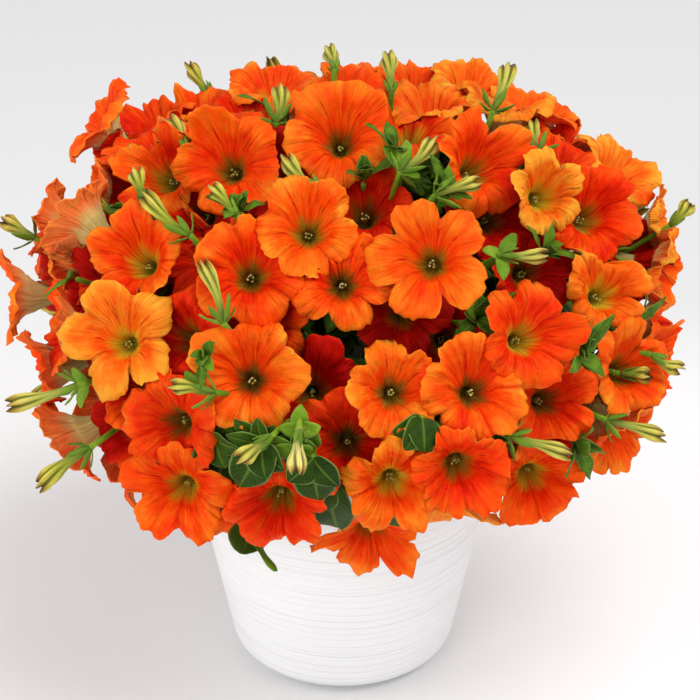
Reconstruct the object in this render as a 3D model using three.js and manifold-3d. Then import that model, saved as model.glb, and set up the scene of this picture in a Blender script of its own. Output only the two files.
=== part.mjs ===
// Petunia in a round pot. Millimetres, +Z up, origin at the middle of the pot's foot, front at -Y.
import * as THREE from 'three';
import { mergeVertices } from 'three/addons/utils/BufferGeometryUtils.js';
import Module from 'manifold-3d';

const wasm = await Module();
wasm.setup();

// Pot
const POT_HEIGHT = 134;
const FOOT_RADIUS = 45;
const SHOULDER_RADIUS = 55.5;
const SHOULDER_HEIGHT = 11;
const RIM_RADIUS = 80;
const WALL = 4.5;
const POT_FLOOR = 7;
const POT_SIDES = 24;
const GROOVE_HEIGHTS = [26, 59, 80];
const GROOVE_DEPTH = 0.8;
const GROOVE_HALF_WIDTH = 0.9;

// Soil
const SOIL_TOP = 121;
const SOIL_CROWN = 3;
const SOIL_SIDES = 24;
const SEAT_GAP = 0.3;
const HOLE_DEPTH = 16;

// Head of foliage and blooms: an ellipsoid that the throats of the blooms lie on
const CANOPY = { centre: new THREE.Vector3(0, 0, 193), radius: 146, halfHeight: 92 };
const HEART = new THREE.Vector3(0, 0, 150);

// Viewpoint that the places in the lists below are seen from
const VIEW = {
  eye: new THREE.Vector3(3.5, -1228.7, 860.4),
  pitch: THREE.MathUtils.degToRad(29.5),
  focalPixels: 2937,
  middlePixel: 350,
};

// Bloom: a five-lobed limb on a tube
const LOBES = 5;
const THROAT_RADIUS = 5.5;
const THROAT_DEPTH = 9;
const TUBE_TOP_RADIUS = 7.5;
const TUBE_TOP_DROP = 2.2;
const TUBE_LENGTH = 29;
const SHOULDER_ANGLE = 16;
const NOTCH_ANGLE = 36;
const NOTCH_REACH = 0.86;
const LIMB_CUP = 0.12;
const LOBE_WAVE = 3.0;
const PETAL = 0xff640f;
const DARK_PETAL = 0xa01806;
const LIGHT_PETAL = 0xff9422;
const CALYX_RADIUS = 3.2;
const CALYX_LENGTH = 9;
const JOIN_VOLUME = 0.4;
const TOUCH_VOLUME = 0.0001;
const MOST_BLOOMS_IN_SPRAY = 5;
const FIRST_PUSHES = [0, 2, 4, 6, 8, 10];
const FURTHER_PUSHES = [12, 14, 16, 18, 20, 22, 24, 26];
const SHIFTED = [-15, -12, -10, -8, -6.5, -5, -3.5, -2, 2, 3.5, 5, 6.5, 8, 10, 12, 15];
const MOST_SPRAYS = 50;
const JOIN_ROUNDS = 9;
const JOINS_IN_ROUND = 7;

// Stems, leaves and buds
const OUTER_STEMS = 5;
const UPPER_STEMS = 3;
const STEM_RADIUS = 2.4;
const HUB_RADIUS = 13;
const STALK_RADIUS = 1.05;
const BLADE_THICKNESS = 1.3;
const LEAF_FOLD = 0.1;
const LEAST_FIT = 0.2;
const BUD_RADIUS = 3.7;
const NECK = 5;
const NEAR_JOINTS = 6;
const NEAR_STEMS = 3;
const ROUTE_SHARE = 0.78;
const BOWS = [[0, 0.18], [0.18, 0], [-0.18, 0], [0, -0.18], [0.2, 0.25], [-0.2, 0.25], [0, 0.4], [0.4, 0],
  [-0.4, 0], [0.3, -0.25], [-0.3, -0.25], [0, 0.65], [0.6, 0.3], [-0.6, 0.3]];
const BUD_SIDES = 4;
const SEPAL_LENGTH = 12;
const SEPAL_WIDTH = 3.6;
const TUFT_SHIFTS = [0, -3, 3, -6, -9, -12, -16];
const SHOOT_LENGTH = 9;
const BUD_DIVE = 9;
const LEAF_WIDTH = 0.36;
const SHIFTS = [0, 3, -3, 6, -6, 9, -9, 12, -12, 15, -15, -18, -21];

// Blooms as they are seen: px, py the throat; across the limb in millimetres; turn to the right and
// tip upwards from facing the viewer, in degrees; out, millimetres above the canopy; hue, -2 dark
// red to +1 yellow-orange
const SEEN_BLOOMS = [
  { px: 250, py: 375, across: 52, turn: -2, tip: 0, out: 6, hue: 0.2 },
  { px: 393, py: 388, across: 43, turn: 4, tip: 0, out: 5, hue: 0.3 },
  { px: 308, py: 226, across: 48, turn: 0, tip: 5, out: 5, hue: 0.3 },
  { px: 430, py: 258, across: 54, turn: -8, tip: 0, out: 3, hue: 0.1 },
  { px: 476, py: 388, across: 50, turn: 12, tip: 0, out: 3, hue: 0.1 },
  { px: 340, py: 135, across: 53, turn: 0, tip: 12, out: 3, hue: 0.1 },
  { px: 120, py: 338, across: 50, turn: -14, tip: 0, out: 4, hue: 0.7 },
  { px: 607, py: 289, across: 46, turn: 20, tip: 5, out: 3, hue: 0.4 },
  { px: 250, py: 270, across: 50, turn: 0, tip: 5, out: 1, hue: -0.1 },
  { px: 342, py: 280, across: 47, turn: 0, tip: 0, out: 0, hue: 0.1 },
  { px: 228, py: 163, across: 50, turn: -12, tip: 6, out: 1, hue: 0 },
  { px: 548, py: 192, across: 42, turn: 22, tip: 0, out: 3, hue: 0.8 },
  { px: 138, py: 256, across: 45, turn: -20, tip: 8, out: 2, hue: 0 },
  { px: 393, py: 484, across: 44, turn: 5, tip: -20, out: 3, hue: 0.2 },
  { px: 277, py: 505, across: 46, turn: -8, tip: -32, out: 2, hue: -0.4 },
  { px: 370, py: 540, across: 48, turn: 0, tip: -52, out: 2, hue: 0.2 },
  { px: 178, py: 490, across: 48, turn: -14, tip: -20, out: 2, hue: 0 },
  { px: 170, py: 423, across: 48, turn: -26, tip: -12, out: 2, hue: -0.3 },
  { px: 630, py: 368, across: 46, turn: 38, tip: 0, out: 3, hue: 0.2 },
  { px: 535, py: 480, across: 45, turn: 12, tip: -26, out: 2, hue: -0.1 },
  { px: 460, py: 470, across: 44, turn: 8, tip: -26, out: 1, hue: -0.4 },
  { px: 347, py: 440, across: 48, turn: 0, tip: -8, out: -1, hue: -0.5 },
  { px: 480, py: 163, across: 50, turn: 30, tip: 10, out: 1, hue: 0 },
  { px: 528, py: 335, across: 48, turn: 22, tip: 0, out: 0, hue: -0.4 },
  { px: 592, py: 213, across: 48, turn: 24, tip: 2, out: -1, hue: -0.4 },
  { px: 410, py: 122, across: 46, turn: 10, tip: 40, out: 0, hue: 0 },
  { px: 161, py: 172, across: 46, turn: -25, tip: 8, out: -3, hue: 0 },
  { px: 205, py: 252, across: 46, turn: -12, tip: 2, out: -8, hue: -0.2 },
  { px: 180, py: 335, across: 45, turn: -32, tip: 0, out: -5, hue: -0.9 },
  { px: 262, py: 322, across: 45, turn: -5, tip: 8, out: -8, hue: -0.1 },
  { px: 365, py: 205, across: 44, turn: 0, tip: 18, out: -10, hue: -1 },
  { px: 552, py: 398, across: 42, turn: 24, tip: -4, out: -8, hue: -0.2 },
  { px: 273, py: 82, across: 46, turn: -8, tip: 58, out: 0, hue: 0.1 },
  { px: 362, py: 84, across: 44, turn: 5, tip: 66, out: -3, hue: 0 },
  { px: 418, py: 82, across: 44, turn: 12, tip: 60, out: 0, hue: 0 },
  { px: 472, py: 84, across: 46, turn: 24, tip: 56, out: 1, hue: 0.7 },
  { px: 538, py: 108, across: 46, turn: 25, tip: 66, out: 0, hue: 0.2 },
  { px: 566, py: 134, across: 40, turn: 58, tip: 52, out: 0, hue: 0 },
  { px: 618, py: 170, across: 48, turn: 50, tip: 42, out: 1, hue: 0.8 },
  { px: 198, py: 108, across: 42, turn: -20, tip: 62, out: 0, hue: -0.1 },
  { px: 155, py: 120, across: 40, turn: -38, tip: 54, out: 0, hue: 0 },
  { px: 98, py: 122, across: 48, turn: -72, tip: 34, out: 2, hue: 0.1 },
  { px: 112, py: 155, across: 40, turn: -64, tip: 0, out: -3, hue: 0 },
  { px: 252, py: 108, across: 34, turn: -5, tip: 46, out: -6, hue: -0.5 },
  { px: 128, py: 190, across: 38, turn: -44, tip: 14, out: -6, hue: -0.1 },
  { px: 94, py: 190, across: 42, turn: -74, tip: 10, out: 0, hue: 0 },
  { px: 82, py: 222, across: 44, turn: -112, tip: 24, out: 2, hue: 0 },
  { px: 60, py: 250, across: 42, turn: -106, tip: -4, out: 0, hue: 0 },
  { px: 50, py: 222, across: 38, turn: -92, tip: 18, out: 0, hue: 0.2 },
  { px: 14, py: 293, across: 46, turn: -84, tip: -4, out: 0, hue: 0 },
  { px: 47, py: 268, across: 42, turn: -78, tip: 0, out: -8, hue: -0.5 },
  { px: 635, py: 258, across: 42, turn: 42, tip: 8, out: -12, hue: -0.8 },
  { px: 665, py: 225, across: 40, turn: 74, tip: 10, out: 0, hue: 0.7 },
  { px: 668, py: 266, across: 44, turn: 70, tip: -12, out: 0, hue: 0.2 },
  { px: 662, py: 322, across: 38, turn: 70, tip: -8, out: -3, hue: -0.4 },
  { px: 657, py: 362, across: 42, turn: 68, tip: -4, out: -7, hue: 0 },
  { px: 620, py: 435, across: 44, turn: 52, tip: -46, out: 0, hue: 0.3 },
  { px: 600, py: 400, across: 30, turn: 40, tip: -20, out: -10, hue: -1.2 },
  { px: 62, py: 330, across: 44, turn: -78, tip: 0, out: 1, hue: 0 },
  { px: 44, py: 368, across: 38, turn: -78, tip: -18, out: 0, hue: -0.3 },
  { px: 92, py: 318, across: 44, turn: -50, tip: 0, out: -18, hue: -1.3 },
  { px: 95, py: 280, across: 42, turn: -55, tip: 4, out: -10, hue: -0.3 },
  { px: 70, py: 438, across: 46, turn: -100, tip: -34, out: 0, hue: 0 },
  { px: 140, py: 388, across: 40, turn: -32, tip: -5, out: -8, hue: -0.5 },
  { px: 122, py: 430, across: 42, turn: -50, tip: -14, out: -10, hue: -0.6 },
  { px: 165, py: 290, across: 42, turn: -22, tip: 0, out: -22, hue: -1.4 },
  { px: 200, py: 205, across: 42, turn: -15, tip: 10, out: -16, hue: -1.2 },
  { px: 278, py: 175, across: 44, turn: -5, tip: 12, out: -22, hue: -1.4 },
  { px: 490, py: 212, across: 44, turn: 10, tip: 5, out: -22, hue: -1.4 },
  { px: 530, py: 268, across: 46, turn: 18, tip: 0, out: -24, hue: -1.4 },
  { px: 312, py: 388, across: 46, turn: 0, tip: -2, out: -20, hue: -1.6 },
  { px: 402, py: 310, across: 44, turn: 0, tip: -6, out: -20, hue: -1.6 },
  { px: 445, py: 335, across: 42, turn: 5, tip: -2, out: -26, hue: -1.8 },
  { px: 545, py: 450, across: 40, turn: 16, tip: -12, out: -12, hue: -0.4 },
  { px: 446, py: 92, across: 38, turn: 24, tip: 96, out: -2, hue: 0 },
];

// Blooms on the far side and the crown: places tried in rows, kept where they are clear of the rest
const FAR_LATITUDES = { lowest: -40, highest: 86, step: 7 };
const FAR_STEP = 13;
const FAR_LIMIT = 0.02;
const CROWN_START = 8;
const FAR_CLEARANCE = 36;
const CROWN_CLEARANCE = 31;
const CROWN_LATITUDE = 40;
const FAR_JITTER = 4;

// Buds as they are seen: px, py the tip; bx, by the base; out, millimetres above the canopy
const SEEN_BUDS = [
  { px: 190, py: 65, bx: 212, by: 98, out: 3, sepals: 0 },
  { px: 62, py: 165, bx: 93, by: 187, out: 3, sepals: 0 },
  { px: 3, py: 220, bx: 35, by: 238, out: 0, sepals: 4 },
  { px: 137, py: 172, bx: 145, by: 202, out: 8, sepals: 0 },
  { px: 145, py: 195, bx: 190, by: 235, out: 10, sepals: 4 },
  { px: 214, py: 188, bx: 237, by: 216, out: 8, sepals: 0 },
  { px: 187, py: 245, bx: 207, by: 305, out: 10, sepals: 4 },
  { px: 288, py: 158, bx: 318, by: 190, out: 9, sepals: 0 },
  { px: 280, py: 90, bx: 276, by: 123, out: 8, sepals: 4 },
  { px: 388, py: 62, bx: 391, by: 98, out: 4, sepals: 0 },
  { px: 433, py: 142, bx: 400, by: 172, out: 6, sepals: 4 },
  { px: 478, py: 182, bx: 435, by: 195, out: 8, sepals: 4 },
  { px: 503, py: 84, bx: 487, by: 128, out: 6, sepals: 4 },
  { px: 545, py: 255, bx: 500, by: 255, out: 9, sepals: 0 },
  { px: 20, py: 403, bx: 88, by: 383, out: 8, sepals: 4 },
  { px: 55, py: 475, bx: 105, by: 437, out: 6, sepals: 4 },
  { px: 152, py: 388, bx: 195, by: 395, out: 12, sepals: 4 },
  { px: 240, py: 458, bx: 272, by: 436, out: 2, sepals: 0 },
  { px: 296, py: 470, bx: 299, by: 427, out: 8, sepals: 0 },
  { px: 662, py: 437, bx: 606, by: 420, out: 6, sepals: 4 },
  { px: 680, py: 369, bx: 652, by: 355, out: 4, sepals: 0 },
  { px: 678, py: 390, bx: 650, by: 388, out: 4, sepals: 0 },
  { px: 690, py: 205, bx: 670, by: 226, out: 0, sepals: 0 },
  { px: 567, py: 455, bx: 510, by: 437, out: 8, sepals: 4 },
  { px: 165, py: 105, bx: 180, by: 132, out: 4, sepals: 0 },
  { px: 330, py: 67, bx: 335, by: 88, out: 4, sepals: 0 },
  { px: 533, py: 124, bx: 538, by: 152, out: 6, sepals: 4 },
];

// Leaves as they are seen, in groups on one stalk: bx, by the stalk's end; px, py each tip; wide, mm
const SEEN_LEAVES = [
  { bx: 312, by: 462, out: -8, tips: [
    { px: 318, py: 504, wide: 17, out: -5 }, { px: 338, py: 490, wide: 12, out: -3 },
    { px: 288, py: 486, wide: 13, out: -2 }] },
  { bx: 328, by: 490, out: -12, tips: [
    { px: 338, py: 533, wide: 18, out: -6 }, { px: 318, py: 520, wide: 11, out: -5 }] },
  { bx: 262, by: 446, out: -12, tips: [
    { px: 240, py: 486, wide: 17, out: -6 }, { px: 266, py: 478, wide: 14, out: -2 },
    { px: 284, py: 470, wide: 12, out: -4 }] },
  { bx: 216, by: 438, out: -14, tips: [
    { px: 204, py: 478, wide: 13, out: -8 }, { px: 226, py: 468, wide: 12, out: -6 },
    { px: 238, py: 448, wide: 10, out: -5 }] },
  { bx: 216, by: 480, out: -16, tips: [
    { px: 206, py: 538, wide: 20, out: -9 }, { px: 236, py: 500, wide: 15, out: -9 }] },
  { bx: 252, by: 520, out: -14, tips: [
    { px: 277, py: 571, wide: 8, out: -3 }, { px: 243, py: 554, wide: 16, out: -6 }] },
  { bx: 388, by: 500, out: -14, tips: [{ px: 401, py: 526, wide: 12, out: -8 }] },
  { bx: 422, by: 418, out: -16, tips: [
    { px: 424, py: 452, wide: 13, out: -8 }, { px: 405, py: 450, wide: 11, out: -9 }] },
  { bx: 299, by: 430, out: 4, tips: [
    { px: 301, py: 404, wide: 7, out: 6 }, { px: 321, py: 427, wide: 7, out: 7 },
    { px: 279, py: 427, wide: 6, out: 6 }] },
  { bx: 500, by: 256, out: 6, tips: [
    { px: 516, py: 234, wide: 6, out: 8 }, { px: 503, py: 281, wide: 6, out: 8 },
    { px: 482, py: 250, wide: 6, out: 8 }] },
  { bx: 401, by: 172, out: 4, tips: [
    { px: 384, py: 145, wide: 6, out: 6 }, { px: 407, py: 140, wide: 6, out: 6 },
    { px: 420, py: 178, wide: 6, out: 6 }] },
  { bx: 195, by: 394, out: 9, tips: [{ px: 176, py: 372, wide: 6, out: 12 }] },
  { bx: 88, by: 383, out: 4, tips: [
    { px: 80, py: 408, wide: 6, out: 6 }, { px: 72, py: 368, wide: 6, out: 6 }] },
];
const WIDE_LEAF = 10;

// Tufts of small leaves as they are seen
const SEEN_TUFTS = [
  { px: 130, py: 150, leaves: 4, length: 17, out: 2 },
  { px: 70, py: 276, leaves: 4, length: 14, out: -2 },
  { px: 122, py: 208, leaves: 4, length: 17, out: -1 },
  { px: 218, py: 98, leaves: 4, length: 16, out: 3 },
  { px: 272, py: 108, leaves: 4, length: 16, out: 4 },
  { px: 196, py: 352, leaves: 4, length: 14, out: 4 },
  { px: 240, py: 208, leaves: 4, length: 14, out: 4 },
  { px: 395, py: 152, leaves: 4, length: 18, out: 2 },
  { px: 445, py: 192, leaves: 4, length: 16, out: 2 },
  { px: 478, py: 318, leaves: 4, length: 20, out: -14 },
  { px: 578, py: 350, leaves: 4, length: 20, out: -4 },
  { px: 575, py: 440, leaves: 4, length: 20, out: -2 },
  { px: 560, py: 235, leaves: 4, length: 18, out: -12 },
  { px: 515, py: 105, leaves: 4, length: 15, out: 2 },
  { px: 365, py: 160, leaves: 4, length: 18, out: -8 },
  { px: 640, py: 320, leaves: 4, length: 15, out: -2 },
];

const UP = new THREE.Vector3(0, 0, 1);
const ASIDE = new THREE.Vector3(0, 1, 0);
const RIGHT = new THREE.Vector3(1, 0, 0);
const VIEW_AHEAD = new THREE.Vector3(0, Math.cos(VIEW.pitch), -Math.sin(VIEW.pitch));
const VIEW_UP = new THREE.Vector3(0, Math.sin(VIEW.pitch), Math.cos(VIEW.pitch));
const VIEW_BACK = VIEW_AHEAD.clone().negate();

// A repeatable source of numbers from 0 to 1
function seeded(seed) {
  let state = seed >>> 0;
  return () => {
    state = (state + 0x6D2B79F5) >>> 0;
    let mixed = state;
    mixed = Math.imul(mixed ^ (mixed >>> 15), mixed | 1);
    mixed ^= mixed + Math.imul(mixed ^ (mixed >>> 7), mixed | 61);
    return ((mixed ^ (mixed >>> 14)) >>> 0) / 4294967296;
  };
}

function toSolid(geometry) {
  const bare = new THREE.BufferGeometry();
  bare.setAttribute('position', geometry.getAttribute('position'));
  bare.setIndex(geometry.getIndex());
  const merged = mergeVertices(bare, 1e-4);
  return new wasm.Manifold(new wasm.Mesh({
    numProp: 3,
    vertProperties: new Float32Array(merged.getAttribute('position').array),
    triVerts: new Uint32Array(merged.getIndex().array),
  }));
}

function toGeometry(solid) {
  const mesh = solid.getMesh();
  const geometry = new THREE.BufferGeometry();
  geometry.setAttribute('position', new THREE.BufferAttribute(new Float32Array(mesh.vertProperties), 3));
  geometry.setIndex(Array.from(mesh.triVerts));
  return geometry;
}

function solidFrom(points, faces) {
  const geometry = new THREE.BufferGeometry();
  geometry.setFromPoints(points);
  geometry.setIndex(faces.flat());
  return toSolid(geometry);
}

function boxesMeet(one, other) {
  const a = one.box;
  const b = other.box;
  return [0, 1, 2].every((axis) => a.min[axis] <= b.max[axis] && b.min[axis] <= a.max[axis]);
}

function sharedVolume(one, other) {
  if (!boxesMeet(one, other)) return 0;
  const common = one.solid.intersect(other.solid);
  const volume = Math.abs(common.volume());
  common.delete();
  return volume;
}

function piece(solid) {
  return { solid, box: solid.boundingBox() };
}

function fused(parts) {
  let body = parts[0].solid;
  for (const part of parts.slice(1)) body = body.add(part.solid);
  return wholeBody(body);
}

// Largest body of a solid: loose scraps and sealed pockets are left out
function wholeBody(solid) {
  const bodies = solid.decompose();
  bodies.sort((a, b) => b.volume() - a.volume());
  return bodies[0];
}

// Point of the canopy seen at a pixel, moved out along its normal
function onCanopy(px, py, out) {
  const across = (px - VIEW.middlePixel) / VIEW.focalPixels;
  const down = (py - VIEW.middlePixel) / VIEW.focalPixels;
  const ray = VIEW_AHEAD.clone().addScaledVector(RIGHT, across).addScaledVector(VIEW_UP, -down).normalize();
  const squeeze = CANOPY.radius / CANOPY.halfHeight;
  const from = VIEW.eye.clone().sub(CANOPY.centre);
  from.z *= squeeze;
  const along = ray.clone();
  along.z *= squeeze;
  const a = along.dot(along);
  const b = from.dot(along);
  const c = from.dot(from) - (CANOPY.radius + out) ** 2;
  const inside = Math.max(b * b - a * c, 0);
  const distance = (-b - Math.sqrt(inside)) / a;
  return { point: VIEW.eye.clone().addScaledVector(ray, distance), ray };
}

function canopyNormal(point) {
  const from = point.clone().sub(CANOPY.centre);
  return new THREE.Vector3(
    from.x / CANOPY.radius ** 2,
    from.y / CANOPY.radius ** 2,
    from.z / CANOPY.halfHeight ** 2,
  ).normalize();
}

// How far out a point is: 1 on the canopy
function canopyShare(point) {
  const from = point.clone().sub(CANOPY.centre);
  return Math.hypot(from.x / CANOPY.radius, from.y / CANOPY.radius, from.z / CANOPY.halfHeight);
}

// Right, up and facing axes of something that faces along a direction
function axesFor(facing) {
  const reference = Math.abs(facing.z) > 0.95 ? ASIDE : UP;
  const up = reference.clone().addScaledVector(facing, -reference.dot(facing)).normalize();
  return { right: up.clone().cross(facing), up, facing };
}

function facingSeen(turn, tip) {
  const turned = THREE.MathUtils.degToRad(turn);
  const tipped = THREE.MathUtils.degToRad(tip);
  return VIEW_BACK.clone().multiplyScalar(Math.cos(tipped) * Math.cos(turned))
    .addScaledVector(RIGHT, Math.cos(tipped) * Math.sin(turned))
    .addScaledVector(VIEW_UP, Math.sin(tipped));
}

// Reach and lift of each lobe, and the turn of the first one, drawn once for each bloom
function lobeDraws(index) {
  const draw = seeded(1000 + index);
  const roll = draw() * 72;
  const lobes = [];
  for (let lobe = 0; lobe < LOBES; lobe += 1) {
    const reach = 0.93 + 0.1 * draw();
    const lift = (draw() * 2 - 1) * LOBE_WAVE;
    lobes.push({ reach, lift });
  }
  return { roll, lobes };
}

// One bloom: limb with a dished throat in front, tube behind
function bloomSolid(bloom, throat) {
  const { right, up, facing } = axesFor(bloom.facing);
  const { roll, lobes } = lobeDraws(bloom.index);
  const radius = bloom.across / 2;
  const at = (degrees, out, height) => {
    const angle = THREE.MathUtils.degToRad(degrees);
    return throat.clone()
      .addScaledVector(right, out * Math.cos(angle))
      .addScaledVector(up, out * Math.sin(angle))
      .addScaledVector(facing, height);
  };
  const rimHeight = radius * LIMB_CUP;
  const points = [at(0, 0, -THROAT_DEPTH), at(0, 0, -TUBE_LENGTH)];
  const faces = [];
  const centre = 0;
  const tubeEnd = 1;
  const throatRing = [];
  const tubeRing = [];
  const before = [];
  const after = [];
  const notch = [];
  const add = (point) => points.push(point) - 1;
  lobes.forEach((lobe, index) => {
    const next = lobes[(index + 1) % LOBES];
    const middle = 90 + roll + index * 72;
    throatRing.push(add(at(middle, THROAT_RADIUS, 0)));
    tubeRing.push(add(at(middle, TUBE_TOP_RADIUS, -TUBE_TOP_DROP)));
    const reach = radius * lobe.reach;
    before.push(add(at(middle - SHOULDER_ANGLE, reach, rimHeight + lobe.lift)));
    after.push(add(at(middle + SHOULDER_ANGLE, reach, rimHeight + lobe.lift)));
    const notchReach = radius * NOTCH_REACH * (lobe.reach + next.reach) / 2;
    notch.push(add(at(middle + NOTCH_ANGLE, notchReach, rimHeight + (lobe.lift + next.lift) / 2)));
  });
  for (let lobe = 0; lobe < LOBES; lobe += 1) {
    const next = (lobe + 1) % LOBES;
    faces.push([throatRing[lobe], before[lobe], after[lobe]]);
    faces.push([throatRing[lobe], after[lobe], notch[lobe]]);
    faces.push([throatRing[lobe], notch[lobe], throatRing[next]]);
    faces.push([throatRing[next], notch[lobe], before[next]]);
    faces.push([centre, throatRing[lobe], throatRing[next]]);
    faces.push([tubeRing[lobe], after[lobe], before[lobe]]);
    faces.push([tubeRing[lobe], notch[lobe], after[lobe]]);
    faces.push([tubeRing[lobe], tubeRing[next], notch[lobe]]);
    faces.push([tubeRing[next], before[next], notch[lobe]]);
    faces.push([tubeRing[lobe], tubeEnd, tubeRing[next]]);
  }
  return solidFrom(points, faces);
}

// Straight-sided shoot through points, one radius a point; a last radius of 0 makes a pointed end.
// A blade is a leaf or sepal that grows out of one side between two near rings
function shootSolid(path, radii, sides, blades = []) {
  const points = [];
  const faces = [];
  const pointed = radii[radii.length - 1] === 0;
  const rings = pointed ? path.length - 1 : path.length;
  const ringAt = (step) => step * sides;
  let across = axesFor(path[1].clone().sub(path[0]).normalize()).right;
  for (let step = 0; step < rings; step += 1) {
    const before = path[Math.max(step - 1, 0)];
    const after = path[Math.min(step + 1, path.length - 1)];
    const ahead = after.clone().sub(before).normalize();
    across = across.clone().addScaledVector(ahead, -across.dot(ahead)).normalize();
    const other = ahead.clone().cross(across);
    for (let side = 0; side < sides; side += 1) {
      const angle = 2 * Math.PI * side / sides;
      points.push(path[step].clone()
        .addScaledVector(across, radii[step] * Math.cos(angle))
        .addScaledVector(other, radii[step] * Math.sin(angle)));
    }
  }
  const taken = new Set();
  for (const blade of blades) {
    const centre = path[blade.ring];
    const choices = [];
    for (let side = 0; side < sides; side += 1) {
      const low = ringAt(blade.ring) + side;
      const beside = ringAt(blade.ring) + (side + 1) % sides;
      const outward = points[low].clone().add(points[beside]).multiplyScalar(0.5).sub(centre).normalize();
      const free = !taken.has(`${blade.ring} ${side}`);
      choices.push({ side, fit: free ? outward.dot(blade.tip.clone().sub(centre).normalize()) : -2 });
    }
    const { side, fit } = choices.reduce((best, choice) => (choice.fit > best.fit ? choice : best));
    if (fit > LEAST_FIT) {
      taken.add(`${blade.ring} ${side}`);
      faces.push(...bladeFaces(points, ringAt(blade.ring), side, sides, blade));
    }
  }
  for (let step = 0; step < rings - 1; step += 1) {
    for (let side = 0; side < sides; side += 1) {
      if (!taken.has(`${step} ${side}`)) {
        const next = (side + 1) % sides;
        const low = ringAt(step);
        const high = ringAt(step + 1);
        faces.push([low + side, low + next, high + next]);
        faces.push([low + side, high + next, high + side]);
      }
    }
  }
  const last = ringAt(rings - 1);
  for (let side = 1; side < sides - 1; side += 1) {
    faces.push([0, side + 1, side]);
    if (!pointed) faces.push([last, last + side, last + side + 1]);
  }
  if (pointed) {
    const end = points.push(path[rings].clone()) - 1;
    for (let side = 0; side < sides; side += 1) faces.push([last + side, last + (side + 1) % sides, end]);
  }
  return solidFrom(points, faces);
}

// Blade out of one side of a shoot: its edges are lifted a little beside its rib
function bladeFaces(points, ring, side, sides, { tip, wide }) {
  const low = ring + side;
  const lowNext = ring + (side + 1) % sides;
  const high = low + sides;
  const highNext = lowNext + sides;
  const root = points[low].clone().add(points[lowNext]).multiplyScalar(0.5);
  const ahead = tip.clone().sub(root);
  const rise = points[high].clone().sub(points[low]);
  const aside = points[lowNext].clone().sub(points[low]);
  const face = aside.clone().cross(ahead).normalize();
  if (face.dot(rise) < 0) face.negate();
  const over = ahead.clone().cross(face).normalize();
  if (over.dot(aside) < 0) over.negate();
  const stations = wide > WIDE_LEAF ? [0.3, 0.68] : [0.48];
  const edge = (share, sign) => points.push(root.clone()
    .addScaledVector(ahead, share)
    .addScaledVector(over, sign * wide / 2)
    .addScaledVector(face, wide * LEAF_FOLD)) - 1;
  const near = stations.map((share) => edge(share, -1));
  const end = points.push(tip.clone()) - 1;
  const far = stations.slice().reverse().map((share) => edge(share, 1));
  const outline = [...near, end, ...far];
  const faces = [[high, low, near[0]], [lowNext, highNext, far[far.length - 1]]];
  for (let step = 0; step < outline.length - 1; step += 1) {
    const nearHalf = step < near.length;
    faces.push([nearHalf ? low : lowNext, outline[step + 1], outline[step]]);
    faces.push([nearHalf ? high : highNext, outline[step], outline[step + 1]]);
  }
  faces.push([low, lowNext, end]);
  faces.push([highNext, high, end]);
  return faces;
}

function outerRadius(height) {
  const rise = (RIM_RADIUS - SHOULDER_RADIUS) / (POT_HEIGHT - SHOULDER_HEIGHT);
  return SHOULDER_RADIUS + (height - SHOULDER_HEIGHT) * rise;
}

function innerRadius(height) {
  return outerRadius(Math.max(height, SHOULDER_HEIGHT)) - WALL;
}

function latheSolid(profile, sides) {
  return toSolid(new THREE.LatheGeometry(profile.map(([r, z]) => new THREE.Vector2(r, z)), sides)
    .rotateX(Math.PI / 2));
}

function potSolid() {
  const profile = [[0, 0], [FOOT_RADIUS - 1, 0], [FOOT_RADIUS, 0.8]];
  for (const turn of [30, 60]) {
    const angle = THREE.MathUtils.degToRad(turn);
    const out = FOOT_RADIUS + (SHOULDER_RADIUS - FOOT_RADIUS) * Math.sin(angle);
    profile.push([out, SHOULDER_HEIGHT * (1 - Math.cos(angle))]);
  }
  profile.push([SHOULDER_RADIUS, SHOULDER_HEIGHT]);
  for (const height of GROOVE_HEIGHTS) {
    profile.push([outerRadius(height - GROOVE_HALF_WIDTH), height - GROOVE_HALF_WIDTH]);
    profile.push([outerRadius(height) - GROOVE_DEPTH, height]);
    profile.push([outerRadius(height + GROOVE_HALF_WIDTH), height + GROOVE_HALF_WIDTH]);
  }
  profile.push([RIM_RADIUS, POT_HEIGHT - 1.5]);
  profile.push([RIM_RADIUS - WALL / 2, POT_HEIGHT]);
  profile.push([RIM_RADIUS - WALL, POT_HEIGHT - 1.5]);
  profile.push([innerRadius(POT_FLOOR), POT_FLOOR]);
  profile.push([0, POT_FLOOR]);
  return latheSolid(profile, POT_SIDES);
}

function soilSolid(stems) {
  const low = POT_FLOOR + SEAT_GAP;
  const rim = SOIL_TOP - SOIL_CROWN;
  const fit = SEAT_GAP / Math.cos(Math.PI / POT_SIDES) + innerRadius(rim) * (1 - Math.cos(Math.PI / POT_SIDES));
  const profile = [[0, low], [innerRadius(low) - fit, low], [innerRadius(rim) - fit, rim],
    [(innerRadius(rim) - fit) * 0.7, SOIL_TOP - 0.8], [0, SOIL_TOP]];
  const holeRadius = (STEM_RADIUS + SEAT_GAP) / Math.cos(Math.PI / 6);
  let soil = latheSolid(profile, SOIL_SIDES);
  for (const stem of stems) {
    const floor = stem.foot.clone().setZ(SOIL_TOP - HOLE_DEPTH - SEAT_GAP);
    const mouth = stem.foot.clone().setZ(SOIL_TOP + 5);
    const hole = shootSolid([floor, mouth], [holeRadius, holeRadius], 6);
    soil = soil.subtract(hole);
  }
  return wholeBody(soil);
}

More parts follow.
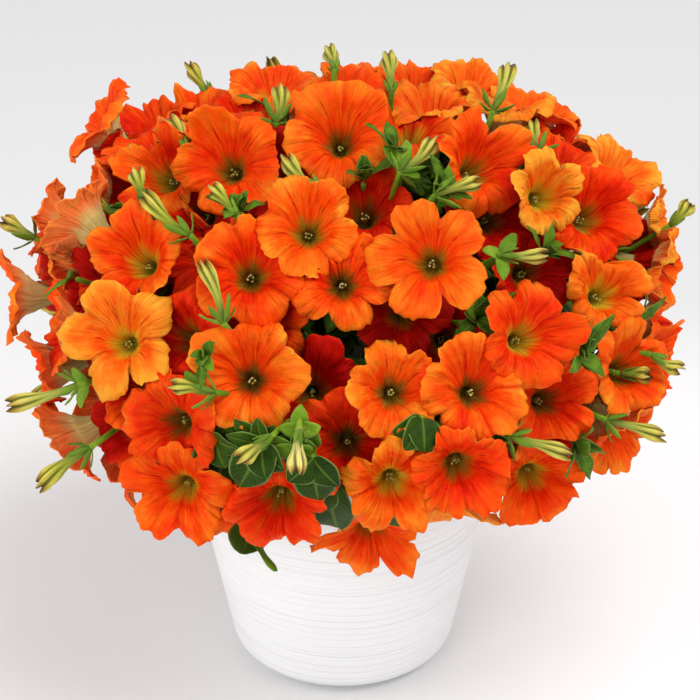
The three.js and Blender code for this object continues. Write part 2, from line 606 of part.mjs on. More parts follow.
// Far-side blooms: kept where the viewer can't see them and where the others leave room
function farBlooms(seen) {
  const draw = seeded(77);
  const found = [];
  const { lowest, highest, step } = FAR_LATITUDES;
  for (let latitude = lowest; latitude <= highest; latitude += step) {
    const height = Math.sin(THREE.MathUtils.degToRad(latitude));
    const out = Math.cos(THREE.MathUtils.degToRad(latitude));
    const count = Math.max(4, Math.round(2 * Math.PI * CANOPY.radius * out / FAR_STEP));
    for (let place = 0; place < count; place += 1) {
      const angle = Math.PI / 2 + 2 * Math.PI * place / count;
      const jitter = [draw(), draw(), draw()].map((value) => value * 2 - 1);
      const across = 43 + 8 * draw();
      const hue = draw() * 1.2 - 0.6;
      const point = new THREE.Vector3(
        CANOPY.radius * out * Math.cos(angle) + FAR_JITTER * jitter[0],
        CANOPY.radius * out * Math.sin(angle) + FAR_JITTER * jitter[1],
        CANOPY.halfHeight * height,
      ).add(CANOPY.centre);
      const normal = canopyNormal(point);
      const toEye = VIEW.eye.clone().sub(point).normalize();
      const hidden = normal.dot(toEye) < FAR_LIMIT || point.y > CROWN_START;
      const clearance = latitude > CROWN_LATITUDE ? CROWN_CLEARANCE : FAR_CLEARANCE;
      const room = [...seen, ...found].every((other) => other.point.distanceTo(point) > clearance);
      if (hidden && room) {
        const facing = normal.clone().multiplyScalar(0.85);
        facing.z += 0.12 + 0.25 * jitter[2];
        facing.x += 0.22 * jitter[0];
        facing.y += 0.2 * jitter[1];
        found.push({ point, ray: normal.clone().negate(), facing: facing.normalize(), across, hue });
      }
    }
  }
  return found;
}

function allBlooms() {
  const seen = SEEN_BLOOMS.map((bloom) => {
    const { point, ray } = onCanopy(bloom.px, bloom.py, bloom.out);
    return { ...bloom, point, ray, facing: facingSeen(bloom.turn, bloom.tip) };
  });
  const blooms = [...seen, ...farBlooms(seen)];
  blooms.forEach((bloom, index) => {
    bloom.index = index;
  });
  return blooms;
}

// One bloom tried at a distance along its line of sight: null where it is blocked or only grazes
// a neighbour, or where the spray that it joins would be too large
function tryBloom(bloom, push, sprays, obstacles, fewestMet, mostMet) {
  const throat = bloom.point.clone().addScaledVector(bloom.ray, push);
  const candidate = piece(bloomSolid(bloom, throat));
  if (obstacles.some((other) => sharedVolume(candidate, other) > TOUCH_VOLUME)) return null;
  const met = [];
  let size = 1;
  for (const spray of sprays) {
    const shared = spray.members.map((member) => sharedVolume(candidate, member));
    const deepest = Math.max(...shared);
    if (deepest > TOUCH_VOLUME && deepest < JOIN_VOLUME) return null;
    if (deepest >= JOIN_VOLUME) {
      met.push(spray);
      size += spray.members.length;
    }
  }
  if (size > MOST_BLOOMS_IN_SPRAY || met.length < fewestMet || met.length > mostMet) return null;
  return { ...candidate, bloom, throat, push, met };
}

function joinSprays(sprays, member) {
  const members = [member];
  for (const spray of member.met) {
    members.push(...spray.members);
    sprays.splice(sprays.indexOf(spray), 1);
  }
  sprays.push({ members });
}

// What joining costs: the extra triangles of the crossing, and the distance moved
function joinCost(member, moved) {
  const bodies = [member, ...member.met.flatMap((spray) => spray.members)];
  const apart = bodies.reduce((sum, part) => sum + part.solid.numTri(), 0);
  return fused(bodies).numTri() - apart + Math.abs(moved);
}

// Cheapest place for a bloom along its line of sight
function cheapestPlace(bloom, pushes, from, sprays, obstacles, fewestMet) {
  let best = null;
  for (const push of pushes) {
    const member = tryBloom(bloom, push, sprays, obstacles, fewestMet, 2);
    if (member !== null) {
      const cost = joinCost(member, push - from);
      if (best === null || cost < best.cost) best = { ...member, cost };
    }
  }
  return best;
}

// Sprays: each bloom is pushed back until it is clear of the others or joins a small spray, then
// single blooms are moved a little to join a neighbour, until the sprays are few enough
function settle(blooms, obstacles) {
  const sprays = [];
  for (const bloom of blooms) {
    const placed = cheapestPlace(bloom, FIRST_PUSHES, 0, sprays, obstacles, 0)
      ?? cheapestPlace(bloom, FURTHER_PUSHES, 0, sprays, obstacles, 0);
    if (placed !== null) joinSprays(sprays, placed);
  }
  for (let round = 0; round < JOIN_ROUNDS && sprays.length > MOST_SPRAYS; round += 1) {
    const moves = sprays.filter((spray) => spray.members.length === 1).map((single) => {
      const { bloom, push } = single.members[0];
      const others = sprays.filter((spray) => spray !== single);
      const place = cheapestPlace(bloom, SHIFTED.map((shift) => push + shift), push, others, obstacles, 1);
      return { single, place };
    }).filter(({ place }) => place !== null).sort((one, other) => one.place.cost - other.place.cost);
    for (const { single, place } of moves.slice(0, JOINS_IN_ROUND)) {
      if (sprays.includes(single) && sprays.length > MOST_SPRAYS) {
        const others = sprays.filter((spray) => spray !== single);
        const again = tryBloom(place.bloom, place.push, others, obstacles, 1, 2);
        if (again !== null) {
          sprays.splice(sprays.indexOf(single), 1);
          joinSprays(sprays, again);
        }
      }
    }
  }
  for (const spray of sprays) {
    for (const member of spray.members) {
      member.bloom.throat = member.throat;
    }
  }
  return sprays;
}

// Main stems: a ring that leans out and an upper group, each from its hole in the soil to a hub
function mainStems() {
  const stems = [];
  const place = (azimuth, elevation, reach, footOut) => {
    const turn = THREE.MathUtils.degToRad(azimuth);
    const rise = THREE.MathUtils.degToRad(elevation);
    const ahead = new THREE.Vector3(Math.cos(rise) * Math.cos(turn), Math.cos(rise) * Math.sin(turn), Math.sin(rise));
    const foot = new THREE.Vector3(footOut * Math.cos(turn), footOut * Math.sin(turn), SOIL_TOP - HOLE_DEPTH);
    const hub = HEART.clone().addScaledVector(ahead, reach);
    const collar = foot.clone().setZ(SOIL_TOP + 6);
    const radii = [STEM_RADIUS, STEM_RADIUS, STEM_RADIUS * 0.8];
    const trunk = piece(shootSolid([foot, collar, hub], radii, 5));
    const knot = piece(toSolid(new THREE.OctahedronGeometry(HUB_RADIUS).translate(hub.x, hub.y, hub.z)));
    stems.push({ ahead, foot, hub, parts: [trunk, knot], joints: [hub] });
  };
  for (let step = 0; step < OUTER_STEMS; step += 1) place(360 * step / OUTER_STEMS - 90, 14, 52, 36);
  for (let step = 0; step < UPPER_STEMS; step += 1) place(360 * step / UPPER_STEMS - 90, 56, 66, 15);
  return stems;
}

// Ways from a joint of the stem to the start of an ending: straight, bowed, and over the pot's rim
function routes(start, end) {
  const span = end.clone().sub(start);
  const length = span.length();
  const side = span.clone().cross(UP).normalize();
  const rise = side.clone().cross(span).normalize();
  const found = [[start]];
  for (const [aside, above] of BOWS) {
    const middle = start.clone().lerp(end, 0.55)
      .addScaledVector(side, aside * length)
      .addScaledVector(rise, above * length);
    if (canopyShare(middle) < ROUTE_SHARE) found.push([start, middle]);
  }
  found.push([start, new THREE.Vector3(end.x, end.y, 0).setLength(RIM_RADIUS + 4).setZ(POT_HEIGHT + 12)]);
  return found;
}

function clearOf(candidate, foreign) {
  return foreign.every((other) => sharedVolume(candidate, other) <= TOUCH_VOLUME);
}

// A shoot grown from the nearest joint of a stem that it can reach, with its ending and its blades
function growOn(stem, ending, foreign, fromHub) {
  const goal = ending.path[0];
  const near = stem.joints.slice().sort((a, b) => a.distanceTo(goal) - b.distanceTo(goal));
  const starts = fromHub ? [stem.hub, ...near.slice(0, NEAR_JOINTS)] : near.slice(0, NEAR_JOINTS);
  for (const start of starts) {
    if (start.distanceTo(goal) < NECK) continue;
    for (const way of routes(start, goal)) {
      const path = [...way, ...ending.path];
      const radii = [...way.map(() => STALK_RADIUS * 1.15), ...ending.radii];
      const blades = ending.blades.map((blade) => ({ ...blade, ring: blade.ring + way.length }));
      const part = piece(shootSolid(path, radii, ending.sides, blades));
      if (clearOf(part, foreign)) {
        stem.parts.push(part);
        stem.joints.push(goal);
        return path;
      }
      part.solid.delete();
    }
  }
  return null;
}

const blooms = allBlooms();
const pot = piece(potSolid());
const stems = mainStems();
const soil = piece(soilSolid(stems));
const sprays = settle(blooms, [pot, soil, ...stems.flatMap((stem) => stem.parts)]);
const bloomPieces = sprays.flatMap((spray) => spray.members);

function foreignTo(stem) {
  return [pot, soil, ...bloomPieces, ...stems.filter((other) => other !== stem).flatMap((other) => other.parts)];
}

function nearStems(point) {
  const from = point.clone().sub(HEART).normalize();
  return stems.slice().sort((a, b) => b.ahead.dot(from) - a.ahead.dot(from)).slice(0, NEAR_STEMS);
}

// Blades that would cross something are left off before the shoot is routed
function growNear(ending, fromHub) {
  for (const stem of nearStems(ending.path[0])) {
    const foreign = foreignTo(stem);
    const stub = { ...ending, blades: [] };
    if (clearOf(piece(shootSolid(stub.path, stub.radii, stub.sides)), foreign)) {
      const blades = ending.blades.filter((blade) => (
        clearOf(piece(shootSolid(ending.path, ending.radii, ending.sides, [blade])), foreign)));
      if (blades.length >= ending.fewest) {
        const path = growOn(stem, { ...ending, blades }, foreign, fromHub);
        if (path !== null) return { stem, path, blades };
      }
    }
  }
  return null;
}

// Stalk with its calyx behind each bloom
function growCalyx({ bloom, throat }) {
  const seat = throat.clone().addScaledVector(bloom.facing, -TUBE_LENGTH - SEAT_GAP);
  const tail = seat.clone().addScaledVector(bloom.facing, -CALYX_LENGTH);
  const radii = [STALK_RADIUS, CALYX_RADIUS];
  return growNear({ path: [tail, seat], radii, sides: 3, blades: [], fewest: 0 }, true);
}

// Bud on its stalk, with sepals, at the first depth where it is clear of the blooms
function growBud(bud) {
  const facing = bud.tip.clone().sub(bud.base);
  const length = facing.length();
  facing.normalize();
  const outward = canopyNormal(bud.base);
  const { right, up } = axesFor(facing);
  for (const shift of SHIFTS) {
    const base = bud.base.clone().addScaledVector(outward, shift);
    const along = (distance) => base.clone().addScaledVector(facing, distance);
    const path = [base.clone().addScaledVector(outward, -BUD_DIVE), along(0), along(BLADE_THICKNESS),
      along(length * 0.8), along(length)];
    const radii = [STALK_RADIUS, STALK_RADIUS, BUD_RADIUS * 0.45, BUD_RADIUS, 0];
    const blades = [];
    for (let sepal = 0; sepal < bud.sepals; sepal += 1) {
      const angle = 2 * Math.PI * (sepal + 0.5) / bud.sepals;
      const tip = along(SEPAL_LENGTH * 0.6)
        .addScaledVector(right, SEPAL_LENGTH * 0.8 * Math.cos(angle))
        .addScaledVector(up, SEPAL_LENGTH * 0.8 * Math.sin(angle));
      blades.push({ ring: 1, tip, wide: SEPAL_WIDTH });
    }
    const grown = growNear({ path, radii, sides: BUD_SIDES, blades, fewest: 0 }, false);
    if (grown !== null) return grown;
  }
  return null;
}

// Tuft of small leaves at the end of a short shoot
function growTuft(tuft, index) {
  const outward = canopyNormal(tuft.point);
  const { right, up } = axesFor(outward);
  const draw = seeded(3000 + index);
  const drawn = [];
  for (let leaf = 0; leaf < tuft.leaves; leaf += 1) {
    drawn.push({ turn: draw() * 0.4, opened: 0.75 + 0.6 * draw(), reach: tuft.length * (0.85 + 0.4 * draw()) });
  }
  for (const shift of TUFT_SHIFTS) {
    const centre = tuft.point.clone().addScaledVector(outward, shift);
    const along = (distance) => centre.clone().addScaledVector(outward, distance);
    const blades = drawn.map(({ turn, opened, reach }, leaf) => {
      const angle = turn + 2 * Math.PI * leaf / tuft.leaves;
      const tip = along(reach * Math.cos(opened))
        .addScaledVector(right, reach * Math.sin(opened) * Math.cos(angle))
        .addScaledVector(up, reach * Math.sin(opened) * Math.sin(angle));
      return { ring: 1, tip, wide: reach * LEAF_WIDTH };
    });
    const path = [along(-SHOOT_LENGTH), along(0), along(BLADE_THICKNESS)];
    const radii = [STALK_RADIUS, STALK_RADIUS * 1.3, STALK_RADIUS];
    const grown = growNear({ path, radii, sides: tuft.leaves, blades, fewest: tuft.leaves - 2 }, false);
    if (grown !== null) return grown;
  }
  return null;
}

// Group of single leaves that share one stalk
function growLeaves(group) {
  const outward = canopyNormal(group.base);
  for (const shift of TUFT_SHIFTS) {
    const along = (distance) => group.base.clone().addScaledVector(outward, shift + distance);
    const blades = group.tips.map(({ point, wide }) => (
      { ring: 1, tip: point.clone().addScaledVector(outward, shift), wide }));
    const path = [along(-NECK), along(0), along(BLADE_THICKNESS)];
    const radii = [STALK_RADIUS, STALK_RADIUS * 1.3, STALK_RADIUS];
    const grown = growNear({ path, radii, sides: 4, blades, fewest: blades.length }, false);
    if (grown !== null) return grown;
  }
  return null;
}

for (const member of bloomPieces) growCalyx(member);
const buds = SEEN_BUDS.map((bud) => ({
  ...bud,
  base: onCanopy(bud.bx, bud.by, bud.out).point,
  tip: onCanopy(bud.px, bud.py, bud.out + 4).point,
}));
for (const bud of buds) growBud(bud);
for (const group of SEEN_LEAVES) {
  const base = onCanopy(group.bx, group.by, group.out).point;
  const tips = group.tips.map(({ px, py, wide, out }) => ({ point: onCanopy(px, py, out).point, wide }));
  growLeaves({ base, tips });
}
const tufts = SEEN_TUFTS.map((tuft) => ({ ...tuft, point: onCanopy(tuft.px, tuft.py, tuft.out).point }));
tufts.forEach((tuft, index) => growTuft(tuft, index));

const plant = new THREE.Group();
function addNode(name, solid, colour, roughness) {
  const material = new THREE.MeshStandardMaterial({ color: colour, roughness, metalness: 0 });
  const mesh = new THREE.Mesh(toGeometry(solid), material);
  mesh.name = name;
  plant.add(mesh);
}

// Mean hue of a spray, from dark red through orange to yellow-orange
function sprayColour(spray) {
  const hue = spray.members.reduce((sum, member) => sum + member.bloom.hue, 0) / spray.members.length;
  const end = new THREE.Color(hue < 0 ? DARK_PETAL : LIGHT_PETAL);
  return new THREE.Color(PETAL).lerp(end, hue < 0 ? -hue / 2 : hue);
}

const numbered = (word, index) => `${word}_${String(index + 1).padStart(2, '0')}`;
addNode('pot', pot.solid, 0xf0f0f2, 0.35);
addNode('soil', soil.solid, 0x3a2a1e, 0.95);
stems.forEach((stem, index) => addNode(numbered('stem', index), fused(stem.parts), 0x4f7f2f, 0.6));
sprays.forEach((spray, index) => {
  addNode(numbered('blooms', index), fused(spray.members), sprayColour(spray), 0.6);
});
export default plant;
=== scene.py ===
"""Petunia in a white pot: fine blooms, buds, leaves and stems built around the frame's solids."""
import math

import bpy
import numpy as np
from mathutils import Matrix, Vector
from mathutils.bvhtree import BVHTree


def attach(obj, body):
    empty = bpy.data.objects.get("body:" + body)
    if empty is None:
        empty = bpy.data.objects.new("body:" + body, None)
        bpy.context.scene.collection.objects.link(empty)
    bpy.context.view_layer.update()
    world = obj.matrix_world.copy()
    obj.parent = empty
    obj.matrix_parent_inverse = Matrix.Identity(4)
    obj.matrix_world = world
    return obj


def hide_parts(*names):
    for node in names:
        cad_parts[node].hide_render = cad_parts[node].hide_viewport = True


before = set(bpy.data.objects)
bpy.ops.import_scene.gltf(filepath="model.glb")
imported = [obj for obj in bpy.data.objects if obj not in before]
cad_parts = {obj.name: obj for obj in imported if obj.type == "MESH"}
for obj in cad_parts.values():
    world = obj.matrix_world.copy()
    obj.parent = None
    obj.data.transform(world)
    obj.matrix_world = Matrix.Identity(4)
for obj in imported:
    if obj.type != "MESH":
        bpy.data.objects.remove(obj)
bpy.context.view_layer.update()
MM = 0.001
ANY_ANGLE = 6.28

# Canopy, viewpoint and bloom sizes, as in the part's source, in millimetres
CANOPY_CENTRE = np.array([0.0, 0.0, 193.0])
CANOPY_RADIUS = 146.0
CANOPY_HALF_HEIGHT = 92.0
CANOPY_SIZES = np.array([CANOPY_RADIUS, CANOPY_RADIUS, CANOPY_HALF_HEIGHT])
HEART = np.array([0.0, 0.0, 150.0])
EYE = np.array([3.5, -1228.7, 860.4])
PITCH = math.radians(29.5)
FOCAL_PIXELS = 2937.0
MIDDLE_PIXEL = 350.0
VIEW_AHEAD = np.array([0.0, math.cos(PITCH), -math.sin(PITCH)])
VIEW_UP = np.array([0.0, math.sin(PITCH), math.cos(PITCH)])
RIGHT, ASIDE, UP = np.eye(3)
THROAT_DEPTH = 9.0
THROAT_RADIUS = 5.5
TUBE_TOP_RADIUS = 7.5
TUBE_TOP_DROP = 2.2
TUBE_LENGTH = 29.0
LOBES = 5
LOBE_ANGLE = 72
SHOULDER_ANGLE = 16
LIMB_CUP = 0.12
LOBE_WAVE = 3.0
SOIL_TOP = 121.0

# Blooms as they are seen: px, py, across, turn, tip, out, hue, the last partly the bloom's own colour and
# partly painted shade, lowest for blooms deep in shade
SEEN_BLOOMS = [
    (250, 375, 52, -2, 0, 6, 0.2), (393, 388, 43, 4, 0, 5, 0.3), (308, 226, 48, 0, 5, 5, 0.3),
    (430, 258, 54, -8, 0, 3, 0.1), (476, 388, 50, 12, 0, 3, 0.1), (340, 135, 53, 0, 12, 3, 0.1),
    (120, 338, 50, -14, 0, 4, 0.7), (607, 289, 46, 20, 5, 3, 0.4), (250, 270, 50, 0, 5, 1, -0.1),
    (342, 280, 47, 0, 0, 0, 0.1), (228, 163, 50, -12, 6, 1, 0), (548, 192, 42, 22, 0, 3, 0.8),
    (138, 256, 45, -20, 8, 2, 0), (393, 484, 44, 5, -20, 3, 0.2), (277, 505, 46, -8, -32, 2, -0.4),
    (370, 540, 48, 0, -52, 2, 0.2), (178, 490, 48, -14, -20, 2, 0), (170, 423, 48, -26, -12, 2, -0.3),
    (630, 368, 46, 38, 0, 3, 0.2), (535, 480, 45, 12, -26, 2, -0.1), (460, 470, 44, 8, -26, 1, -0.4),
    (347, 440, 48, 0, -8, -1, -0.5), (480, 163, 50, 30, 10, 1, 0), (528, 335, 48, 22, 0, 0, -0.4),
    (592, 213, 48, 24, 2, -1, -0.4), (410, 122, 46, 10, 40, 0, 0), (161, 172, 46, -25, 8, -3, 0),
    (205, 252, 46, -12, 2, -8, -0.2), (180, 335, 45, -32, 0, -5, -0.9), (262, 322, 45, -5, 8, -8, -0.1),
    (365, 205, 44, 0, 18, -10, -1), (552, 398, 42, 24, -4, -8, -0.2), (273, 82, 46, -8, 58, 0, 0.1),
    (362, 84, 44, 5, 66, -3, 0), (418, 82, 44, 12, 60, 0, 0), (472, 84, 46, 24, 56, 1, 0.7),
    (538, 108, 46, 25, 66, 0, 0.2), (566, 134, 40, 58, 52, 0, 0), (618, 170, 48, 50, 42, 1, 0.8),
    (198, 108, 42, -20, 62, 0, -0.1), (155, 120, 40, -38, 54, 0, 0), (98, 122, 48, -72, 34, 2, 0.1),
    (112, 155, 40, -64, 0, -3, 0), (252, 108, 34, -5, 46, -6, -0.5), (128, 190, 38, -44, 14, -6, -0.1),
    (94, 190, 42, -74, 10, 0, 0), (82, 222, 44, -112, 24, 2, 0), (60, 250, 42, -106, -4, 0, 0),
    (50, 222, 38, -92, 18, 0, 0.2), (14, 293, 46, -84, -4, 0, 0), (47, 268, 42, -78, 0, -8, -0.5),
    (635, 258, 42, 42, 8, -12, -0.8), (665, 225, 40, 74, 10, 0, 0.7), (668, 266, 44, 70, -12, 0, 0.2),
    (662, 322, 38, 70, -8, -3, -0.4), (657, 362, 42, 68, -4, -7, 0), (620, 435, 44, 52, -46, 0, 0.3),
    (600, 400, 30, 40, -20, -10, -1.2), (62, 330, 44, -78, 0, 1, 0), (44, 368, 38, -78, -18, 0, -0.3),
    (92, 318, 44, -50, 0, -18, -1.3), (95, 280, 42, -55, 4, -10, -0.3), (70, 438, 46, -100, -34, 0, 0),
    (140, 388, 40, -32, -5, -8, -0.5), (122, 430, 42, -50, -14, -10, -0.6),
    (165, 290, 42, -22, 0, -22, -1.4), (200, 205, 42, -15, 10, -16, -1.2),
    (278, 175, 44, -5, 12, -22, -1.4), (490, 212, 44, 10, 5, -22, -1.4), (530, 268, 46, 18, 0, -24, -1.4),
    (312, 388, 46, 0, -2, -20, -1.6), (402, 310, 44, 0, -6, -20, -1.6), (445, 335, 42, 5, -2, -26, -1.8),
    (545, 450, 40, 16, -12, -12, -0.4), (446, 92, 38, 24, 96, -2, 0),
]
# Foremost blooms whose forms stand out: how pointed, notched, ruffled and bent their lobes are
FORMS = {
    0: (0.15, 0.15, 0.8, 0.5), 1: (0.0, 0.22, 1.5, 1.0), 2: (0.0, 0.18, 1.6, 1.5),
    3: (0.0, 0.28, 0.9, 0.5), 4: (0.02, 0.18, 1.2, 1.0), 5: (0.0, 0.12, 1.0, 1.0),
    6: (0.14, 0.36, 1.1, 1.0), 7: (0.05, 0.24, 1.1, 1.5), 8: (0.02, 0.12, 1.0, 0.5),
    9: (0.03, 0.22, 1.3, 1.0), 11: (-0.03, 0.26, 1.2, 2.5), 13: (0.10, 0.25, 1.6, 3.0),
    14: (0.0, 0.14, 1.4, 1.5), 15: (0.16, 0.30, 1.2, 2.0), 16: (0.03, 0.22, 1.5, 2.0),
    19: (0.04, 0.22, 1.6, 1.5), 20: (0.0, 0.2, 2.0, 1.0), 22: (0.04, 0.24, 1.8, 5.0),
    23: (0.02, 0.2, 1.4, 2.0),
}
USUAL_FORM = (0.05, 0.18, 1.0, 1.0)
# Those whose anthers show
OPEN_THROATS = (0, 1, 3, 4, 8, 9, 21, 30)
# Buds as they are seen: px, py the tip; bx, by the base; out; 1 where the sepals stand off
SEEN_BUDS = [
    (190, 65, 212, 98, 3, 0), (62, 165, 93, 187, 3, 0), (3, 220, 35, 238, 0, 1),
    (137, 172, 145, 202, 8, 0), (145, 195, 190, 235, 10, 1), (214, 188, 237, 216, 8, 0),
    (187, 245, 207, 305, 10, 1), (288, 158, 318, 190, 9, 0), (280, 90, 276, 123, 8, 1),
    (388, 62, 391, 98, 4, 0), (433, 142, 400, 172, 6, 1), (478, 182, 435, 195, 8, 1),
    (503, 84, 487, 128, 6, 1), (545, 255, 500, 255, 9, 0), (20, 403, 88, 383, 8, 1),
    (55, 475, 105, 437, 6, 1), (152, 388, 195, 395, 12, 1), (240, 458, 272, 436, 2, 0),
    (296, 470, 299, 427, 8, 0), (662, 437, 606, 420, 6, 1), (680, 369, 652, 355, 4, 0),
    (678, 390, 650, 388, 4, 0), (690, 205, 670, 226, 0, 0), (567, 455, 510, 437, 8, 1),
    (165, 105, 180, 132, 4, 0), (330, 67, 335, 88, 4, 0), (533, 124, 538, 152, 6, 1),
]
# Two buds that hang before a group of leaves, one of them pale
BUDS_BEFORE_LEAVES = (17, 18)
PALE_BUD = 18
# Leaves as they are seen, in groups: bx, by, out, then each tip as px, py, wide, out
SEEN_LEAVES = [
    (312, 462, -8, [(318, 504, 17, -5), (338, 490, 12, -3), (288, 486, 13, -2)]),
    (328, 490, -12, [(338, 533, 18, -6), (318, 520, 11, -5)]),
    (262, 446, -12, [(240, 486, 17, -6), (266, 478, 14, -2), (284, 470, 12, -4)]),
    (216, 438, -14, [(204, 478, 13, -8), (226, 468, 12, -6), (238, 448, 10, -5)]),
    (216, 480, -16, [(206, 538, 20, -9), (236, 500, 15, -9)]),
    (252, 520, -14, [(277, 571, 8, -3), (243, 554, 16, -6)]),
    (388, 500, -14, [(401, 526, 12, -8)]),
    (422, 418, -16, [(424, 452, 13, -8), (405, 450, 11, -9)]),
    (299, 430, 4, [(301, 404, 7, 6), (321, 427, 7, 7), (279, 427, 6, 6)]),
    (500, 256, 6, [(516, 234, 6, 8), (503, 281, 6, 8), (482, 250, 6, 8)]),
    (401, 172, 4, [(384, 145, 6, 6), (407, 140, 6, 6), (420, 178, 6, 6)]),
    (195, 394, 9, [(176, 372, 6, 12)]),
    (88, 383, 4, [(80, 408, 6, 6), (72, 368, 6, 6)]),
]
# Tufts as they are seen: px, py, length, out
SEEN_TUFTS = [
    (130, 150, 17, 2), (70, 276, 14, -2), (122, 208, 17, -1), (218, 98, 16, 3),
    (272, 108, 16, 4), (196, 352, 14, 4), (240, 208, 14, 4), (395, 152, 18, 2),
    (445, 192, 16, 2), (478, 318, 20, -14), (578, 350, 20, -4), (575, 440, 20, -2),
    (560, 235, 18, -12), (515, 105, 15, 2), (365, 160, 18, -8), (640, 320, 15, -2),
]

# Starts of the series of drawn numbers, the first three as in the part's source
FAR_START, LOBE_START, TUFT_START = 77, 1000, 3000
LIMB_SERIES, STALK_SERIES, BUD_SERIES, LEAF_SERIES, TUFT_SERIES = 5000, 7000, 8000, 8500, 9000
FAR_BUD_SERIES, CRUMB_SERIES = 404, 41


def seeded(seed):
    """The part's own repeatable numbers from 0 to 1."""
    mask = 0xFFFFFFFF
    state = [seed & mask]

    def draw():
        state[0] = (state[0] + 0x6D2B79F5) & mask
        mixed = state[0]
        mixed = ((mixed ^ (mixed >> 15)) * (mixed | 1)) & mask
        mixed ^= (mixed + ((mixed ^ (mixed >> 7)) * (mixed | 61) & mask)) & mask
        return ((mixed ^ (mixed >> 14)) & mask) / 4294967296
    return draw


def unit(vector):
    return vector / np.linalg.norm(vector)


def smooth(value):
    value = np.clip(value, 0, 1)
    return value * value * (3 - 2 * value)


def layered(*parts):
    return np.stack(np.broadcast_arrays(*parts), axis=-1)


def on_canopy(px, py, out):
    """The point of the canopy that a pixel shows, and the line of sight to it."""
    across = (px - MIDDLE_PIXEL) / FOCAL_PIXELS
    down = (py - MIDDLE_PIXEL) / FOCAL_PIXELS
    ray = unit(VIEW_AHEAD + across * RIGHT - down * VIEW_UP)
    squeeze = CANOPY_RADIUS / CANOPY_SIZES
    start = (EYE - CANOPY_CENTRE) * squeeze
    along = ray * squeeze
    a = along @ along
    b = start @ along
    c = start @ start - (CANOPY_RADIUS + out) ** 2
    return EYE + ray * (-b - math.sqrt(max(b * b - a * c, 0.0))) / a, ray


def canopy_normal(point):
    return unit((point - CANOPY_CENTRE) / CANOPY_SIZES ** 2)


def axes_for(facing):
    """The right and up of something that faces this way."""
    reference = ASIDE if abs(facing[2]) > 0.95 else UP
    up = unit(reference - (reference @ facing) * facing)
    return np.cross(up, facing), up


def sideways(outward, draw):
    """A direction across the outward one, drawn by chance."""
    return unit(np.cross(outward, draw.normal(size=3)))


def spoke(axes, angle):
    return np.multiply.outer(np.cos(angle), axes[0]) + np.multiply.outer(np.sin(angle), axes[1])


def facing_seen(turn, tip):
    turned, tipped = math.radians(turn), math.radians(tip)
    return (-VIEW_AHEAD * math.cos(tipped) * math.cos(turned)
            + RIGHT * math.cos(tipped) * math.sin(turned) + VIEW_UP * math.sin(tipped))


# Blooms of the far side, as in the part's source
FAR_LATITUDES = range(-40, 87, 7)
FAR_STEP = 13
FAR_LIMIT = 0.02
CROWN_START = 8
FAR_CLEARANCE = 36
CROWN_CLEARANCE = 31
CROWN_LATITUDE = 40
FAR_JITTER = 4
FAR_ACROSS, FAR_ACROSS_RANGE = 43, 8
FAR_HUE_RANGE = 1.2
FAR_OUTWARD, FAR_LIFT = 0.85, 0.12
FAR_LEAN = np.array([0.22, 0.2, 0.25])


def far_blooms(seen):
    """The blooms of the far side, drawn just as the part's source draws them."""
    draw = seeded(FAR_START)
    found = []
    for latitude in FAR_LATITUDES:
        height = math.sin(math.radians(latitude))
        out = math.cos(math.radians(latitude))
        count = max(4, math.floor(2 * math.pi * CANOPY_RADIUS * out / FAR_STEP + 0.5))
        for place in range(count):
            angle = math.pi / 2 + 2 * math.pi * place / count
            jitter = np.array([draw() * 2 - 1 for _ in range(3)])
            across = FAR_ACROSS + FAR_ACROSS_RANGE * draw()
            hue = draw() * FAR_HUE_RANGE - FAR_HUE_RANGE / 2
            point = (CANOPY_CENTRE + CANOPY_SIZES * (out * math.cos(angle), out * math.sin(angle), height)
                     + FAR_JITTER * jitter * (1, 1, 0))
            normal = canopy_normal(point)
            hidden = normal @ unit(EYE - point) < FAR_LIMIT or point[1] > CROWN_START
            clearance = CROWN_CLEARANCE if latitude > CROWN_LATITUDE else FAR_CLEARANCE
            if hidden and all(np.linalg.norm(o["point"] - point) > clearance for o in seen + found):
                facing = unit(normal * FAR_OUTWARD + FAR_LEAN * jitter + FAR_LIFT * UP)
                found.append({"point": point, "ray": -normal, "facing": facing,
                              "across": across, "hue": hue, "seen": False})
    return found


def lobe_draws(index):
    draw = seeded(LOBE_START + index)
    roll = draw() * LOBE_ANGLE
    return roll, np.array([(0.93 + 0.1 * draw(), (draw() * 2 - 1) * LOBE_WAVE) for _ in range(LOBES)])


def on_bloom(bloom, degrees, out, height):
    """Offsets from the throat, for arrays of polar places."""
    angle = np.radians(degrees)
    return (spoke(axes_for(bloom["facing"]), angle) * np.reshape(out, (-1, 1))
            + np.multiply.outer(height * np.ones_like(angle), bloom["facing"]))


def corner_offsets(bloom):
    """Where the solid's own corners lie from the throat."""
    radius = bloom["across"] / 2
    middles = 90 + bloom["roll"] + LOBE_ANGLE * np.arange(LOBES)
    reach = radius * bloom["lobes"][:, 0]
    lift = radius * LIMB_CUP + bloom["lobes"][:, 1]
    return np.concatenate([
        on_bloom(bloom, middles - SHOULDER_ANGLE, reach, lift),
        on_bloom(bloom, middles + SHOULDER_ANGLE, reach, lift), on_bloom(bloom, middles, THROAT_RADIUS, 0.0),
        on_bloom(bloom, middles, TUBE_TOP_RADIUS, -TUBE_TOP_DROP),
        bloom["facing"][None] * -THROAT_DEPTH, bloom["facing"][None] * -TUBE_LENGTH])


node_points = {name: np.array([v.co for v in thing.data.vertices]) / MM
               for name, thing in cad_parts.items()}


def gathered(prefix):
    """The nodes of a kind, all their points and which node each is of."""
    names = sorted(name for name in node_points if name.startswith(prefix))
    owners = np.concatenate([[index] * len(node_points[name]) for index, name in enumerate(names)])
    return names, np.concatenate([node_points[name] for name in names]), owners


BLOOM_NODES, bloom_points, bloom_owners = gathered("blooms")
STEM_NODES, stem_points, stem_owners = gathered("stem")
CLOSE = 0.06


